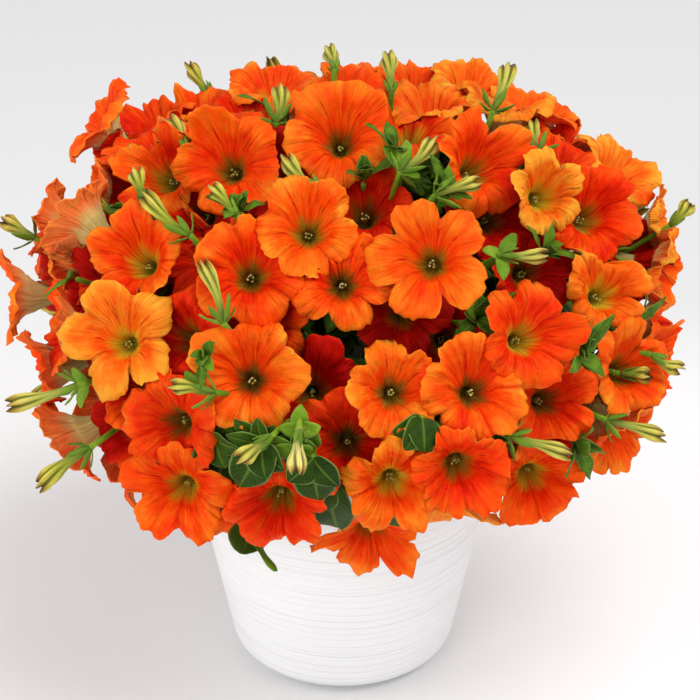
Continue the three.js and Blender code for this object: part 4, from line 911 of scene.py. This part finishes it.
def glaze_material():
    """White glaze over thin turned lines, each of which comes and goes round the pot: fine grooves, bumped in
    and painted darker as their shade.
    """
    made = Surface("glaze")
    x, y, z = made.parts(made.position())
    x, y = x * 8.0, y * 8.0
    lines = None
    for spacing, width, low, high in GROOVE_SHADE_LINES:
        turns = z * spacing + made.noise(made.put("CombineXYZ", x, y, z), 0.7, 2.0, 0.5) * 1.4
        own = made.put("CombineXYZ", x, y, turns.floor() * 7.31)
        line = turns.fraction().line(width) * made.noise(own, 1.1, 1.0, 0.4).rise(low, high)
        lines = line if lines is None else lines.larger(line)
    body = made.mix(made.noise(made.position(), 24.0, 3.0, 0.5), *GLAZE_SHADES)
    # Painted shade along the grooves' lines
    body = made.mix(lines * 0.85, body, GROOVE_SHADE_GREY)
    return made.finished(body, made.bump(lines * -1.0, 0.3, 0.0004), Roughness=0.38, Coat_Weight=0.15,
                         Coat_Roughness=0.2)


def soil_material():
    made = Surface("soil")
    coarse = made.noise(made.position(), 160.0, 8.0, 0.7)
    grains = made.put("TexVoronoi", made.position(), None, 420.0, output="Distance")
    crumbs = made.bump(coarse + grains, 1.0, 0.004)
    return made.finished(made.ramp(coarse, SOIL_COLOURS), crumbs, Roughness=0.95)


def floor_material():
    """Pale floor, painted a little greyer from just behind the part on: painted shade that stands in for a
    wall behind.
    """
    made = Surface("floor")
    near = made.mix(made.noise(None, 2.0, 2.0, 0.5), *FLOOR_SHADES)
    depth = made.parts(made.position())[1]
    return made.finished(made.mix(depth.rise(*FLOOR_TURN), near, FLOOR_BEYOND_SHADE), Roughness=0.7)


# Blooms, a piece for each spray
blooms = all_blooms()
for bloom in blooms:
    shape_bloom(bloom)
arrange(blooms)
sprays = {name: Piece() for name in BLOOM_NODES}
for bloom in blooms:
    add_bloom(sprays[bloom["node"]], bloom)
petal_materials = [petal_material(), anther_material()]
for name, spray in sprays.items():
    spray.made(name + "_petals", [name], petal_materials, "petals")

# The limbs as thin sheets, which stalks and leaves keep clear of
sheet_points, sheet_faces = [], []
first = 0
for bloom in blooms:
    rows, around = bloom["limb"].shape[:2]
    corner = np.arange((rows - 1) * around)
    after = corner - corner % around + (corner + 1) % around
    sheet_points.append(bloom["limb"].reshape(-1, 3))
    sheet_faces.append(np.stack([corner, after, after + around, corner + around], axis=1) + first)
    first += rows * around
sheets = BVHTree.FromPolygons(np.concatenate(sheet_points).tolist(), np.concatenate(sheet_faces).tolist())

# How far before a limb a thing comes to stand
ROOM = 2.5


def first_hit(one, other, beyond=0.0):
    """How far from one point, on the way to another, the first limb is, or None."""
    span = np.linalg.norm(other - one)
    return sheets.ray_cast(Vector(one), Vector((other - one) / span), span + beyond)[3]


def pierces(path):
    """How many limbs a path of points passes through."""
    return sum(np.linalg.norm(other - one) > 0.01 and first_hit(one, other) is not None
               for one, other in zip(path[:-1], path[1:]))


def in_sight(point):
    return first_hit(EYE, point) is None


def into_view(points, most):
    """How far these points come towards the eye to stand in front of the limbs that hide them."""
    needed = 0.0
    for point in points:
        hit = first_hit(EYE, point, ROOM)
        if hit is not None:
            needed = max(needed, np.linalg.norm(point - EYE) + ROOM - hit)
    return -unit(points[0] - EYE) * min(needed, most)


# The room in and before a throat that stays free, along the tube's axis and across it
FREE_FROM, FREE_TO = -24, 16
FREE_RADII = (3, 11)
throat_points = np.array([bloom["throat"] for bloom in blooms])
throat_facings = np.array([bloom["facing"] for bloom in blooms])


def in_throats(*points):
    """How many throats these points lie in or right before."""
    found = 0
    for point in points:
        apart = point - throat_points
        deep = np.sum(apart * throat_facings, axis=1)
        aside = np.linalg.norm(apart - deep[:, None] * throat_facings, axis=1)
        free = np.clip(12 + deep * 0.6, *FREE_RADII)
        found += int(np.sum((deep > FREE_FROM) & (deep < FREE_TO) & (aside < free)))
    return found


def in_picture(point):
    apart = point - EYE
    across = np.array([apart @ RIGHT, -apart @ VIEW_UP])
    return MIDDLE_PIXEL + FOCAL_PIXELS * across / (apart @ VIEW_AHEAD)


throats_seen = [(in_picture(bloom["throat"]), bloom["across"]) for bloom in blooms
                if bloom["seen"] and bloom["hue"] > -1]


def before_a_bloom(point, share=0.72):
    spot = in_picture(point)
    return any(np.linalg.norm(spot - throat) < share * across for throat, across in throats_seen)


# Main stems: how many, how steep, how long, and how far from the middle each stands
STEM_RINGS = ((5, 14, 52, 36), (3, 56, 66, 15))
STEM_FOOT_DEPTH = 15.5
STEM_RADII, STEM_STEPS = (2.35, 1.9), 14
LEAVES_ON_STEM, LEAVES_ON_STALK, LEAVES_UNDER_BLOOM = 22, 3, 5
STEMS = []
for count, elevation, reach, foot_out in STEM_RINGS:
    for step in range(count):
        turn, rise = math.radians(360 * step / count - 90), math.radians(elevation)
        ahead = np.array([math.cos(rise) * math.cos(turn), math.cos(rise) * math.sin(turn), math.sin(rise)])
        foot = np.array([foot_out * math.cos(turn), foot_out * math.sin(turn), SOIL_TOP - STEM_FOOT_DEPTH])
        STEMS.append({"ahead": ahead, "foot": foot, "hub": HEART + ahead * reach, "piece": Piece()})


def stem_at(point, radius=0.5):
    """The stem whose solid has corners about a point, or else the one that leans that way."""
    near = np.linalg.norm(stem_points - point, axis=1) < radius
    if near.any():
        return STEMS[np.bincount(stem_owners[near]).argmax()]
    away = unit(point - HEART)
    return max(STEMS, key=lambda stem: stem["ahead"] @ away)


STALK_TRIES = 14
STALK_STEPS = 12
STALK_RADII = (1.3, 0.95)


def add_stalk(stem, end, facing, last_radius, draw, straight=9.0):
    """Stalk from the main stem to an end that it reaches head on; gives back its path."""
    paths = []
    for attempt in range(STALK_TRIES):
        start = stem["hub"] - stem["ahead"] * draw.uniform(0, 10)
        span = np.linalg.norm(end - start)
        first = unit(0.65 * unit(end - start) + 0.35 * stem["ahead"]
                     + draw.uniform(-0.16, 0.16, 3) * (1 + attempt))
        push = end - facing * (straight + span * draw.uniform(0.15, 0.25 + 0.03 * attempt))
        paths.append(bezier(start, start + first * span * 0.36, push, end, STALK_STEPS))
    path = min(paths, key=lambda path: 3 * pierces(path[:-1]) + 3 * in_throats(*path[:-2])
               + sum(in_sight(point) for point in path[:-2]))
    radii = np.linspace(*STALK_RADII, STALK_STEPS)
    radii[-3:] = (1.0, 1.25, last_radius)
    stem["piece"].tube(path, radii, 6, GREEN, 0.35, draw.random())
    return path


def add_side_leaves(stem, path, count, draw, longest=27, low=0.3, high=0.78, lying=0.8):
    """Leaves along a stalk, kept under the blooms."""
    for _ in range(count):
        place = draw.uniform(low, high) * (len(path) - 1)
        step = int(place)
        base = path[step] + (path[step + 1] - path[step]) * (place - step)
        outward = canopy_normal(base)
        aside = sideways(outward, draw)
        ahead = unit(outward * draw.uniform(0.1, 1.0) * lying + aside)
        length = longest * draw.uniform(0.7, 1.1)
        tip = base + ahead * length
        deep = np.linalg.norm((tip - CANOPY_CENTRE) / CANOPY_SIZES) < 0.93 and tip[2] > SOIL_TOP + 4
        if deep and not pierces([base, tip]) and not in_throats(tip, (base + tip) / 2):
            add_leaf(stem["piece"], base, tip, outward, length * draw.uniform(0.42, 0.55), draw,
                     draw.uniform(-0.6, 0.1), small=True)


for stem in STEMS:
    draw = np.random.default_rng(int(abs(stem["foot"][0] * 7) + abs(stem["foot"][1]) * 3 + 11))
    collar = stem["foot"] * np.array([1, 1, 0]) + UP * (SOIL_TOP + 8)
    path = bezier(stem["foot"], collar, stem["hub"] - stem["ahead"] * 22, stem["hub"], STEM_STEPS)
    stem["piece"].tube(path, np.linspace(*STEM_RADII, STEM_STEPS), 8, GREEN, 0.3, 0.5)
    add_side_leaves(stem, path, LEAVES_ON_STEM, draw, 36, 0.3, 0.95)

for bloom in blooms:
    draw = np.random.default_rng(STALK_SERIES + bloom["index"])
    facing = bloom["facing"]
    seat = bloom["throat"] - facing * (TUBE_LENGTH - 0.4)
    stem = stem_at(seat, 3.6)
    path = add_stalk(stem, seat, facing, 2.3, draw)
    add_sepals(stem["piece"], seat - facing * 1.5, facing, 13.5, 0.42, draw)
    add_side_leaves(stem, path, LEAVES_ON_STALK, draw)
    add_side_leaves(stem, path, LEAVES_UNDER_BLOOM, draw, 26, 0.70, 0.93, 0.3)

# Buds, leaves and tufts, each found where its solid lies
BUD_SHIFTS = (0, 3, -3, 6, -6, 9, -9, 12, -12, 15, -15, -18, -21)
TUFT_SHIFTS = (0, -3, 3, -6, -9, -12, -16)
LONGEST_BUD = 32.0
FURTHEST_SHIFT = 34
BUD_FORWARD = 8
BROAD_LEAF = 8
LEAVES_BESIDE = 13
TUFT_LEAVES, LEAVES_IN_TUFT = 4, 7
USUAL_SEPALS, OPEN_SEPALS = (8.5, 0.4, 2.4), (12.0, 0.9, 3.0)
# How far groups of leaves and tufts come nearer at most, the shares along a leaf that are to be seen,
# and the parts of that way that are tried
LEAVES_NEARER = (17.0, (0.2, 0.4, 0.6, 0.8, 1.0), (1.0, 0.85, 0.7, 0.55, 1.15, 1.3))
TUFTS_NEARER = (12.0, (0.4, 0.8), (1.0, 0.8, 0.6, 0.4, 1.2, 1.4))


def best_shift(points, outward, shifts):
    """The move outwards at which most of these points are corners of a stem's solid."""
    def found(shift):
        moved = points + outward * shift
        gaps = np.linalg.norm(stem_points[None] - moved[:, None], axis=2).min(axis=1)
        return int((gaps < CLOSE).sum())
    return outward * max(shifts, key=lambda shift: (found(shift), -abs(shift)))


def shortened(span, ray):
    """A bud's span, its end slid along the line of sight until the bud is no longer than it should be."""
    aside = span - (span @ ray) * ray
    room = math.sqrt(max(LONGEST_BUD ** 2 - aside @ aside, 0.0))
    return aside + float(np.clip(span @ ray, -room, room)) * ray


def clear_place(base, tip):
    """Moves a bud along the line of sight, as little as will do, to where it is seen and pierces no limb."""
    ray = unit(base - EYE)
    middle = (base + tip) / 2
    for shift in sorted(range(1 - FURTHEST_SHIFT, FURTHEST_SHIFT), key=lambda shift: (abs(shift), -shift)):
        moved = [point - ray * shift for point in (tip, middle, base, base + ray * 5)]
        if not np.any(into_view(moved[:2], 99.0)) and not pierces(moved) and not in_throats(*moved):
            return moved[2], moved[0]
    nearer = into_view([tip, middle, base], 30.0)
    return base + nearer, tip + nearer


def place_leaves(base, ends, sunk, draw, most, shares, parts):
    """Moves a group of leaves onto its solid, then towards the eye so that most of it is seen and
    pierces nothing, and adds its stalk, which ends as deep as sunk below the group's base."""
    outward = canopy_normal(base)
    shift = best_shift(ends, outward, TUFT_SHIFTS)
    base, ends = base + shift, ends + shift
    stem = stem_at(ends[0])
    nearer = into_view([base + (end - base) * share for end in ends for share in shares], most)

    def faults(move):
        return sum(2 * pierces([base + move, (base + end) / 2 + move, end + move])
                   + (not in_sight((base + end) / 2 + move)) + (not in_sight(end + move)) for end in ends)
    nearer = min((nearer * part for part in parts), key=faults)
    base, ends = base + nearer, ends + nearer
    add_stalk(stem, base - outward * sunk, unit(outward + 1.5 * unit(EYE - base)), 1.3, draw, 14.0)
    return stem["piece"], base, ends, outward


for index, (px, py, bx, by, out, open_sepals) in enumerate(SEEN_BUDS):
    draw = np.random.default_rng(BUD_SERIES + index)
    base, tip = on_canopy(bx, by, out)[0], on_canopy(px, py, out + 4)[0]
    outward = canopy_normal(base)
    shift = best_shift(tip[None], outward, BUD_SHIFTS)
    base, tip = base + shift, tip + shift
    stem = stem_at(tip)
    base, tip = clear_place(base, base + shortened(tip - base, unit(tip - EYE)))
    if index in BUDS_BEFORE_LEAVES:
        tip = tip + BUD_FORWARD * unit(EYE - base)
        base = base + BUD_FORWARD * unit(EYE - base)
    facing = unit(tip - base)
    add_stalk(stem, base, unit(0.5 * facing + outward + unit(EYE - base)), 1.4, draw, 16.0)
    add_bud(stem["piece"], base, facing, np.linalg.norm(tip - base), draw,
            1.0 if index == PALE_BUD else draw.uniform(0, 0.35))
    reach, opened, wide = OPEN_SEPALS if open_sepals else USUAL_SEPALS
    add_sepals(stem["piece"], base, facing, reach, opened, draw, wide)

for index, (bx, by, out, tips) in enumerate(SEEN_LEAVES):
    draw = np.random.default_rng(LEAF_SERIES + index)
    ends = np.array([on_canopy(px, py, lift)[0] for px, py, _, lift in tips])
    leafy, base, ends, outward = place_leaves(on_canopy(bx, by, out)[0], ends, 0.0, draw, *LEAVES_NEARER)
    broad = tips[0][2] > BROAD_LEAF
    axes = axes_for(outward)
    for _ in range(LEAVES_BESIDE if broad else 0):
        angle, reach = draw.uniform(0, ANY_ANGLE), draw.uniform(10, 19)
        foot = base - outward * draw.uniform(2, 9)
        end = foot + reach * spoke(axes, angle) + outward * draw.uniform(-1, 4)
        if not before_a_bloom(end) and not in_throats(end):
            wide = reach * draw.uniform(0.45, 0.6)
            add_leaf(leafy, foot, end, outward, wide, draw, draw.uniform(-0.6, 0.1))
    # The broad leaves get a low tone as painted shade, the small ones a lighter tone
    for end, (_, _, wide, _) in zip(ends, tips):
        add_leaf(leafy, base, end, outward, wide * 1.05, draw, -0.7 if wide > BROAD_LEAF else 0.35)

for index, (px, py, length, out) in enumerate(SEEN_TUFTS):
    source = seeded(TUFT_START + index)
    centre = on_canopy(px, py, out)[0]
    outward = canopy_normal(centre)
    axes = axes_for(outward)
    ends = []
    for leaf in range(TUFT_LEAVES):
        turn, opened = source() * 0.4, 0.75 + 0.6 * source()
        reach = length * (0.85 + 0.4 * source())
        aside = spoke(axes, turn + 2 * math.pi * leaf / TUFT_LEAVES)
        ends.append(centre + reach * spoke((outward, aside), opened))
    draw = np.random.default_rng(TUFT_SERIES + index)
    leafy, centre, ends, outward = place_leaves(centre, np.array(ends), 4.0, draw, *TUFTS_NEARER)
    more = []
    for _ in range(LEAVES_IN_TUFT):
        aside = sideways(outward, draw)
        opened = draw.uniform(0.3, 1.2)
        more.append(centre + length * draw.uniform(0.5, 0.85) * spoke((outward, aside), opened))
    for end in [*ends, *more]:
        if not before_a_bloom(end, 0.5) and not pierces([centre + outward, end]) and not in_throats(end):
            add_leaf(leafy, centre - outward * 2, end, outward, 0.36 * length, draw, blunt=1.1, small=True)

# Far side: buds with a tuft at the foot, where there is room among the blooms
FAR_PLACES = 700
GOLDEN_ANGLE = 2.39996
FAR_BUD_SPACING = 48
FAR_THROAT_SPACING = 15
FAR_SIDE = -0.2
FAR_BUD_LEAVES = 4
far_places = []
draw = np.random.default_rng(FAR_BUD_SERIES)
for number in range(FAR_PLACES):
    rise = -0.35 + 1.3 * (number + 0.5) / FAR_PLACES
    turn = number * GOLDEN_ANGLE
    out = math.sqrt(max(1 - rise * rise, 0))
    place = CANOPY_CENTRE + CANOPY_SIZES * (out * math.cos(turn), out * math.sin(turn), rise)
    outward = canopy_normal(place)
    facing = unit(outward + draw.uniform(-0.5, 0.5, 3))
    length = draw.uniform(24, 31)
    base = place - facing * 12
    tip = base + facing * length
    nearest = np.linalg.norm(throat_points - place, axis=1).min()
    if (unit(EYE - place) @ outward > FAR_SIDE or nearest < FAR_THROAT_SPACING
            or any(np.linalg.norm(place - other) < FAR_BUD_SPACING for other in far_places)
            or pierces([tip, base, base - facing * 5]) or in_throats(tip, base, (tip + base) / 2)):
        continue
    far_places.append(place)
    stem = stem_at(base)
    add_stalk(stem, base, facing, 1.4, draw)
    add_bud(stem["piece"], base, facing, length, draw, draw.uniform(0, 0.35))
    add_sepals(stem["piece"], base, facing, 11.0, 0.8, draw)
    for _ in range(FAR_BUD_LEAVES):
        aside = sideways(outward, draw)
        end = base + draw.uniform(11, 16) * unit(outward * draw.uniform(0.2, 0.9) + aside)
        if not pierces([base + outward, end]) and not in_throats(end):
            add_leaf(stem["piece"], base - facing * 2, end, outward, 5.5, draw, 0.25, blunt=1.1, small=True)

green_materials = [green_material(), bud_material()]
for name, stem in zip(STEM_NODES, STEMS):
    stem["piece"].made(name + "_leafy", [name], green_materials, "foliage")

# Pot: radius and height up the foot and over the rim; height and depth of each groove
POT_FOOT = [(20, 0), (40, 0), (43.6, 0), (44.6, 0.3), (45.4, 1.2), (47.5, 2.2), (50.2, 3.4), (52.6, 5.2),
            (54.4, 7.6), (55.3, 10.2)]
POT_RIM = [(79.8, 132.6), (79.6, 133.3), (79.0, 133.8), (78.0, 134.0), (76.8, 133.8), (76.0, 133.2),
           (75.6, 132.3)]
GROOVES = [(15, 0.12), (21, 0.10), (26, 0.50), (33, 0.15), (38, 0.12), (43, 0.28), (48, 0.14), (53, 0.18),
           (59, 0.50), (64.5, 0.16), (69.5, 0.40), (76, 0.25), (80, 0.50), (85, 0.15), (90, 0.18),
           (96, 0.2), (102, 0.22), (109, 0.16), (116, 0.2), (123, 0.16)]
WALL_ENDS = ((55.5, 11), (80.0, 134))
WALL = 4.5
SOIL_GAP = 5.4
LUMPY_ABOVE, LUMPY_WITHIN = 110, 70.5
POT_FLOOR = 7.0
GROOVE_WIDTH = 0.5
LUMPS = 220


def wall_radius(height):
    """The outer radius of the pot's straight wall."""
    (low, foot), (high, rim) = WALL_ENDS
    return low + (height - foot) * (high - low) / (rim - foot)


def add_turned(name, node, slot, material, profile, around, bottom, top, rise=None):
    """A turned form: its profile as radius and height, closed at both ends, with a rise for each point."""
    angles = -2 * np.pi * np.arange(around) / around
    rows = []
    for radius, height in profile:
        x, y = radius * np.cos(angles), radius * np.sin(angles)
        lumpy = rise and height > LUMPY_ABOVE and radius <= LUMPY_WITHIN
        lift = rise(x, y) if lumpy else np.zeros(around)
        rows.append(np.stack([x, y, height + lift], axis=1))
    piece = Piece()
    piece.grid(np.array(rows), 0, (0, 0, 0), (0, 0, 0, 0), UP * bottom, UP * top)
    piece.made(name, [node], [material], slot)


profile = POT_FOOT[:]
for height in np.arange(12.0, 132.0, 0.5):
    depth = sum(deep * math.exp(-((height - at) / GROOVE_WIDTH) ** 2) for at, deep in GROOVES)
    profile.append((wall_radius(height) - depth, float(height)))
profile += POT_RIM + [(wall_radius(height) - WALL, height) for height in (125, 110, 80, 50, 25, 12)]
profile += [(50.0, POT_FLOOR), (25.0, POT_FLOOR)]
add_turned("glazed_pot", "pot", "pot_glaze", glaze_material(), profile, 132, 0.0, POT_FLOOR)

crumbs = np.random.default_rng(CRUMB_SERIES)
lumps = [(crumbs.uniform(-70, 70), crumbs.uniform(-70, 70), crumbs.uniform(2, 5), crumbs.uniform(0.5, 1.6))
         for _ in range(LUMPS)]


def crumbled(x, y):
    rise = sum(high * np.exp(-((x - a) ** 2 + (y - b) ** 2) / wide ** 2) for a, b, wide, high in lumps)
    return np.minimum(rise, 1.8) - 1.2


profile = [(30, 7.4), (49.0, 7.4), (49.6, 8.5)]
profile += [(wall_radius(height) - SOIL_GAP, height) for height in (20, 50, 80, 105, 116)]
profile += [(wall_radius(117) - WALL - 1.4, 117.4)]
profile += [(radius, 117.6 + 3.2 * (1 - radius / 72)) for radius in range(70, 3, -3)]
add_turned("potting_soil", "soil", "soil", soil_material(), profile, 120, 7.4, 120.2, crumbled)

# Floor, light and camera
FLOOR_HALF = 4.0
WORLD_STRENGTH = 0.67
# Lights: place, target, size and power
LIGHTS = {
    "key": ((0.9, -0.5, 2.0), (0, 0, 0.2), 1.8, 35),
    "fill": ((-1.0, -1.9, 0.9), (0, 0, 0.1), 1.4, 12),
    "left": ((-1.5, -0.3, 0.9), (-0.1, 0, 0.05), 1.2, 8),
}
SENSOR_WIDTH = 36.0


def placed(name, data):
    thing = bpy.data.objects.new(name, data)
    bpy.context.scene.collection.objects.link(thing)
    return thing


floor_mesh = bpy.data.meshes.new("floor")
corners = [(FLOOR_HALF * x, FLOOR_HALF * y, 0) for x, y in ((-1, -1), (1, -1), (1, 1), (-1, 1))]
floor_mesh.from_pydata(corners, [], [(0, 1, 2, 3)])
floor_mesh.materials.append(floor_material())
placed("floor", floor_mesh)

world = bpy.data.worlds.new("studio")
world.use_nodes = True
world.node_tree.nodes["Background"].inputs[0].default_value = (1.0, 1.0, 1.0, 1.0)
world.node_tree.nodes["Background"].inputs[1].default_value = WORLD_STRENGTH
bpy.context.scene.world = world

for name, (place, target, size, power) in LIGHTS.items():
    light = bpy.data.lights.new(name, "AREA")
    light.shape = "DISK"
    light.size = size
    light.energy = power
    lamp = placed(name, light)
    lamp.location = place
    lamp.rotation_euler = (Vector(target) - Vector(place)).to_track_quat("-Z", "Y").to_euler()

lens = bpy.data.cameras.new("camera")
lens.sensor_width = SENSOR_WIDTH
lens.lens = FOCAL_PIXELS * SENSOR_WIDTH / (2 * MIDDLE_PIXEL)
camera = placed("camera", lens)
camera.location = EYE * MM
camera.rotation_euler = (math.pi / 2 - PITCH, 0, 0)
bpy.context.scene.camera = camera
bpy.context.scene.view_settings.view_transform = "Standard"
bpy.context.scene.view_settings.look = "None"
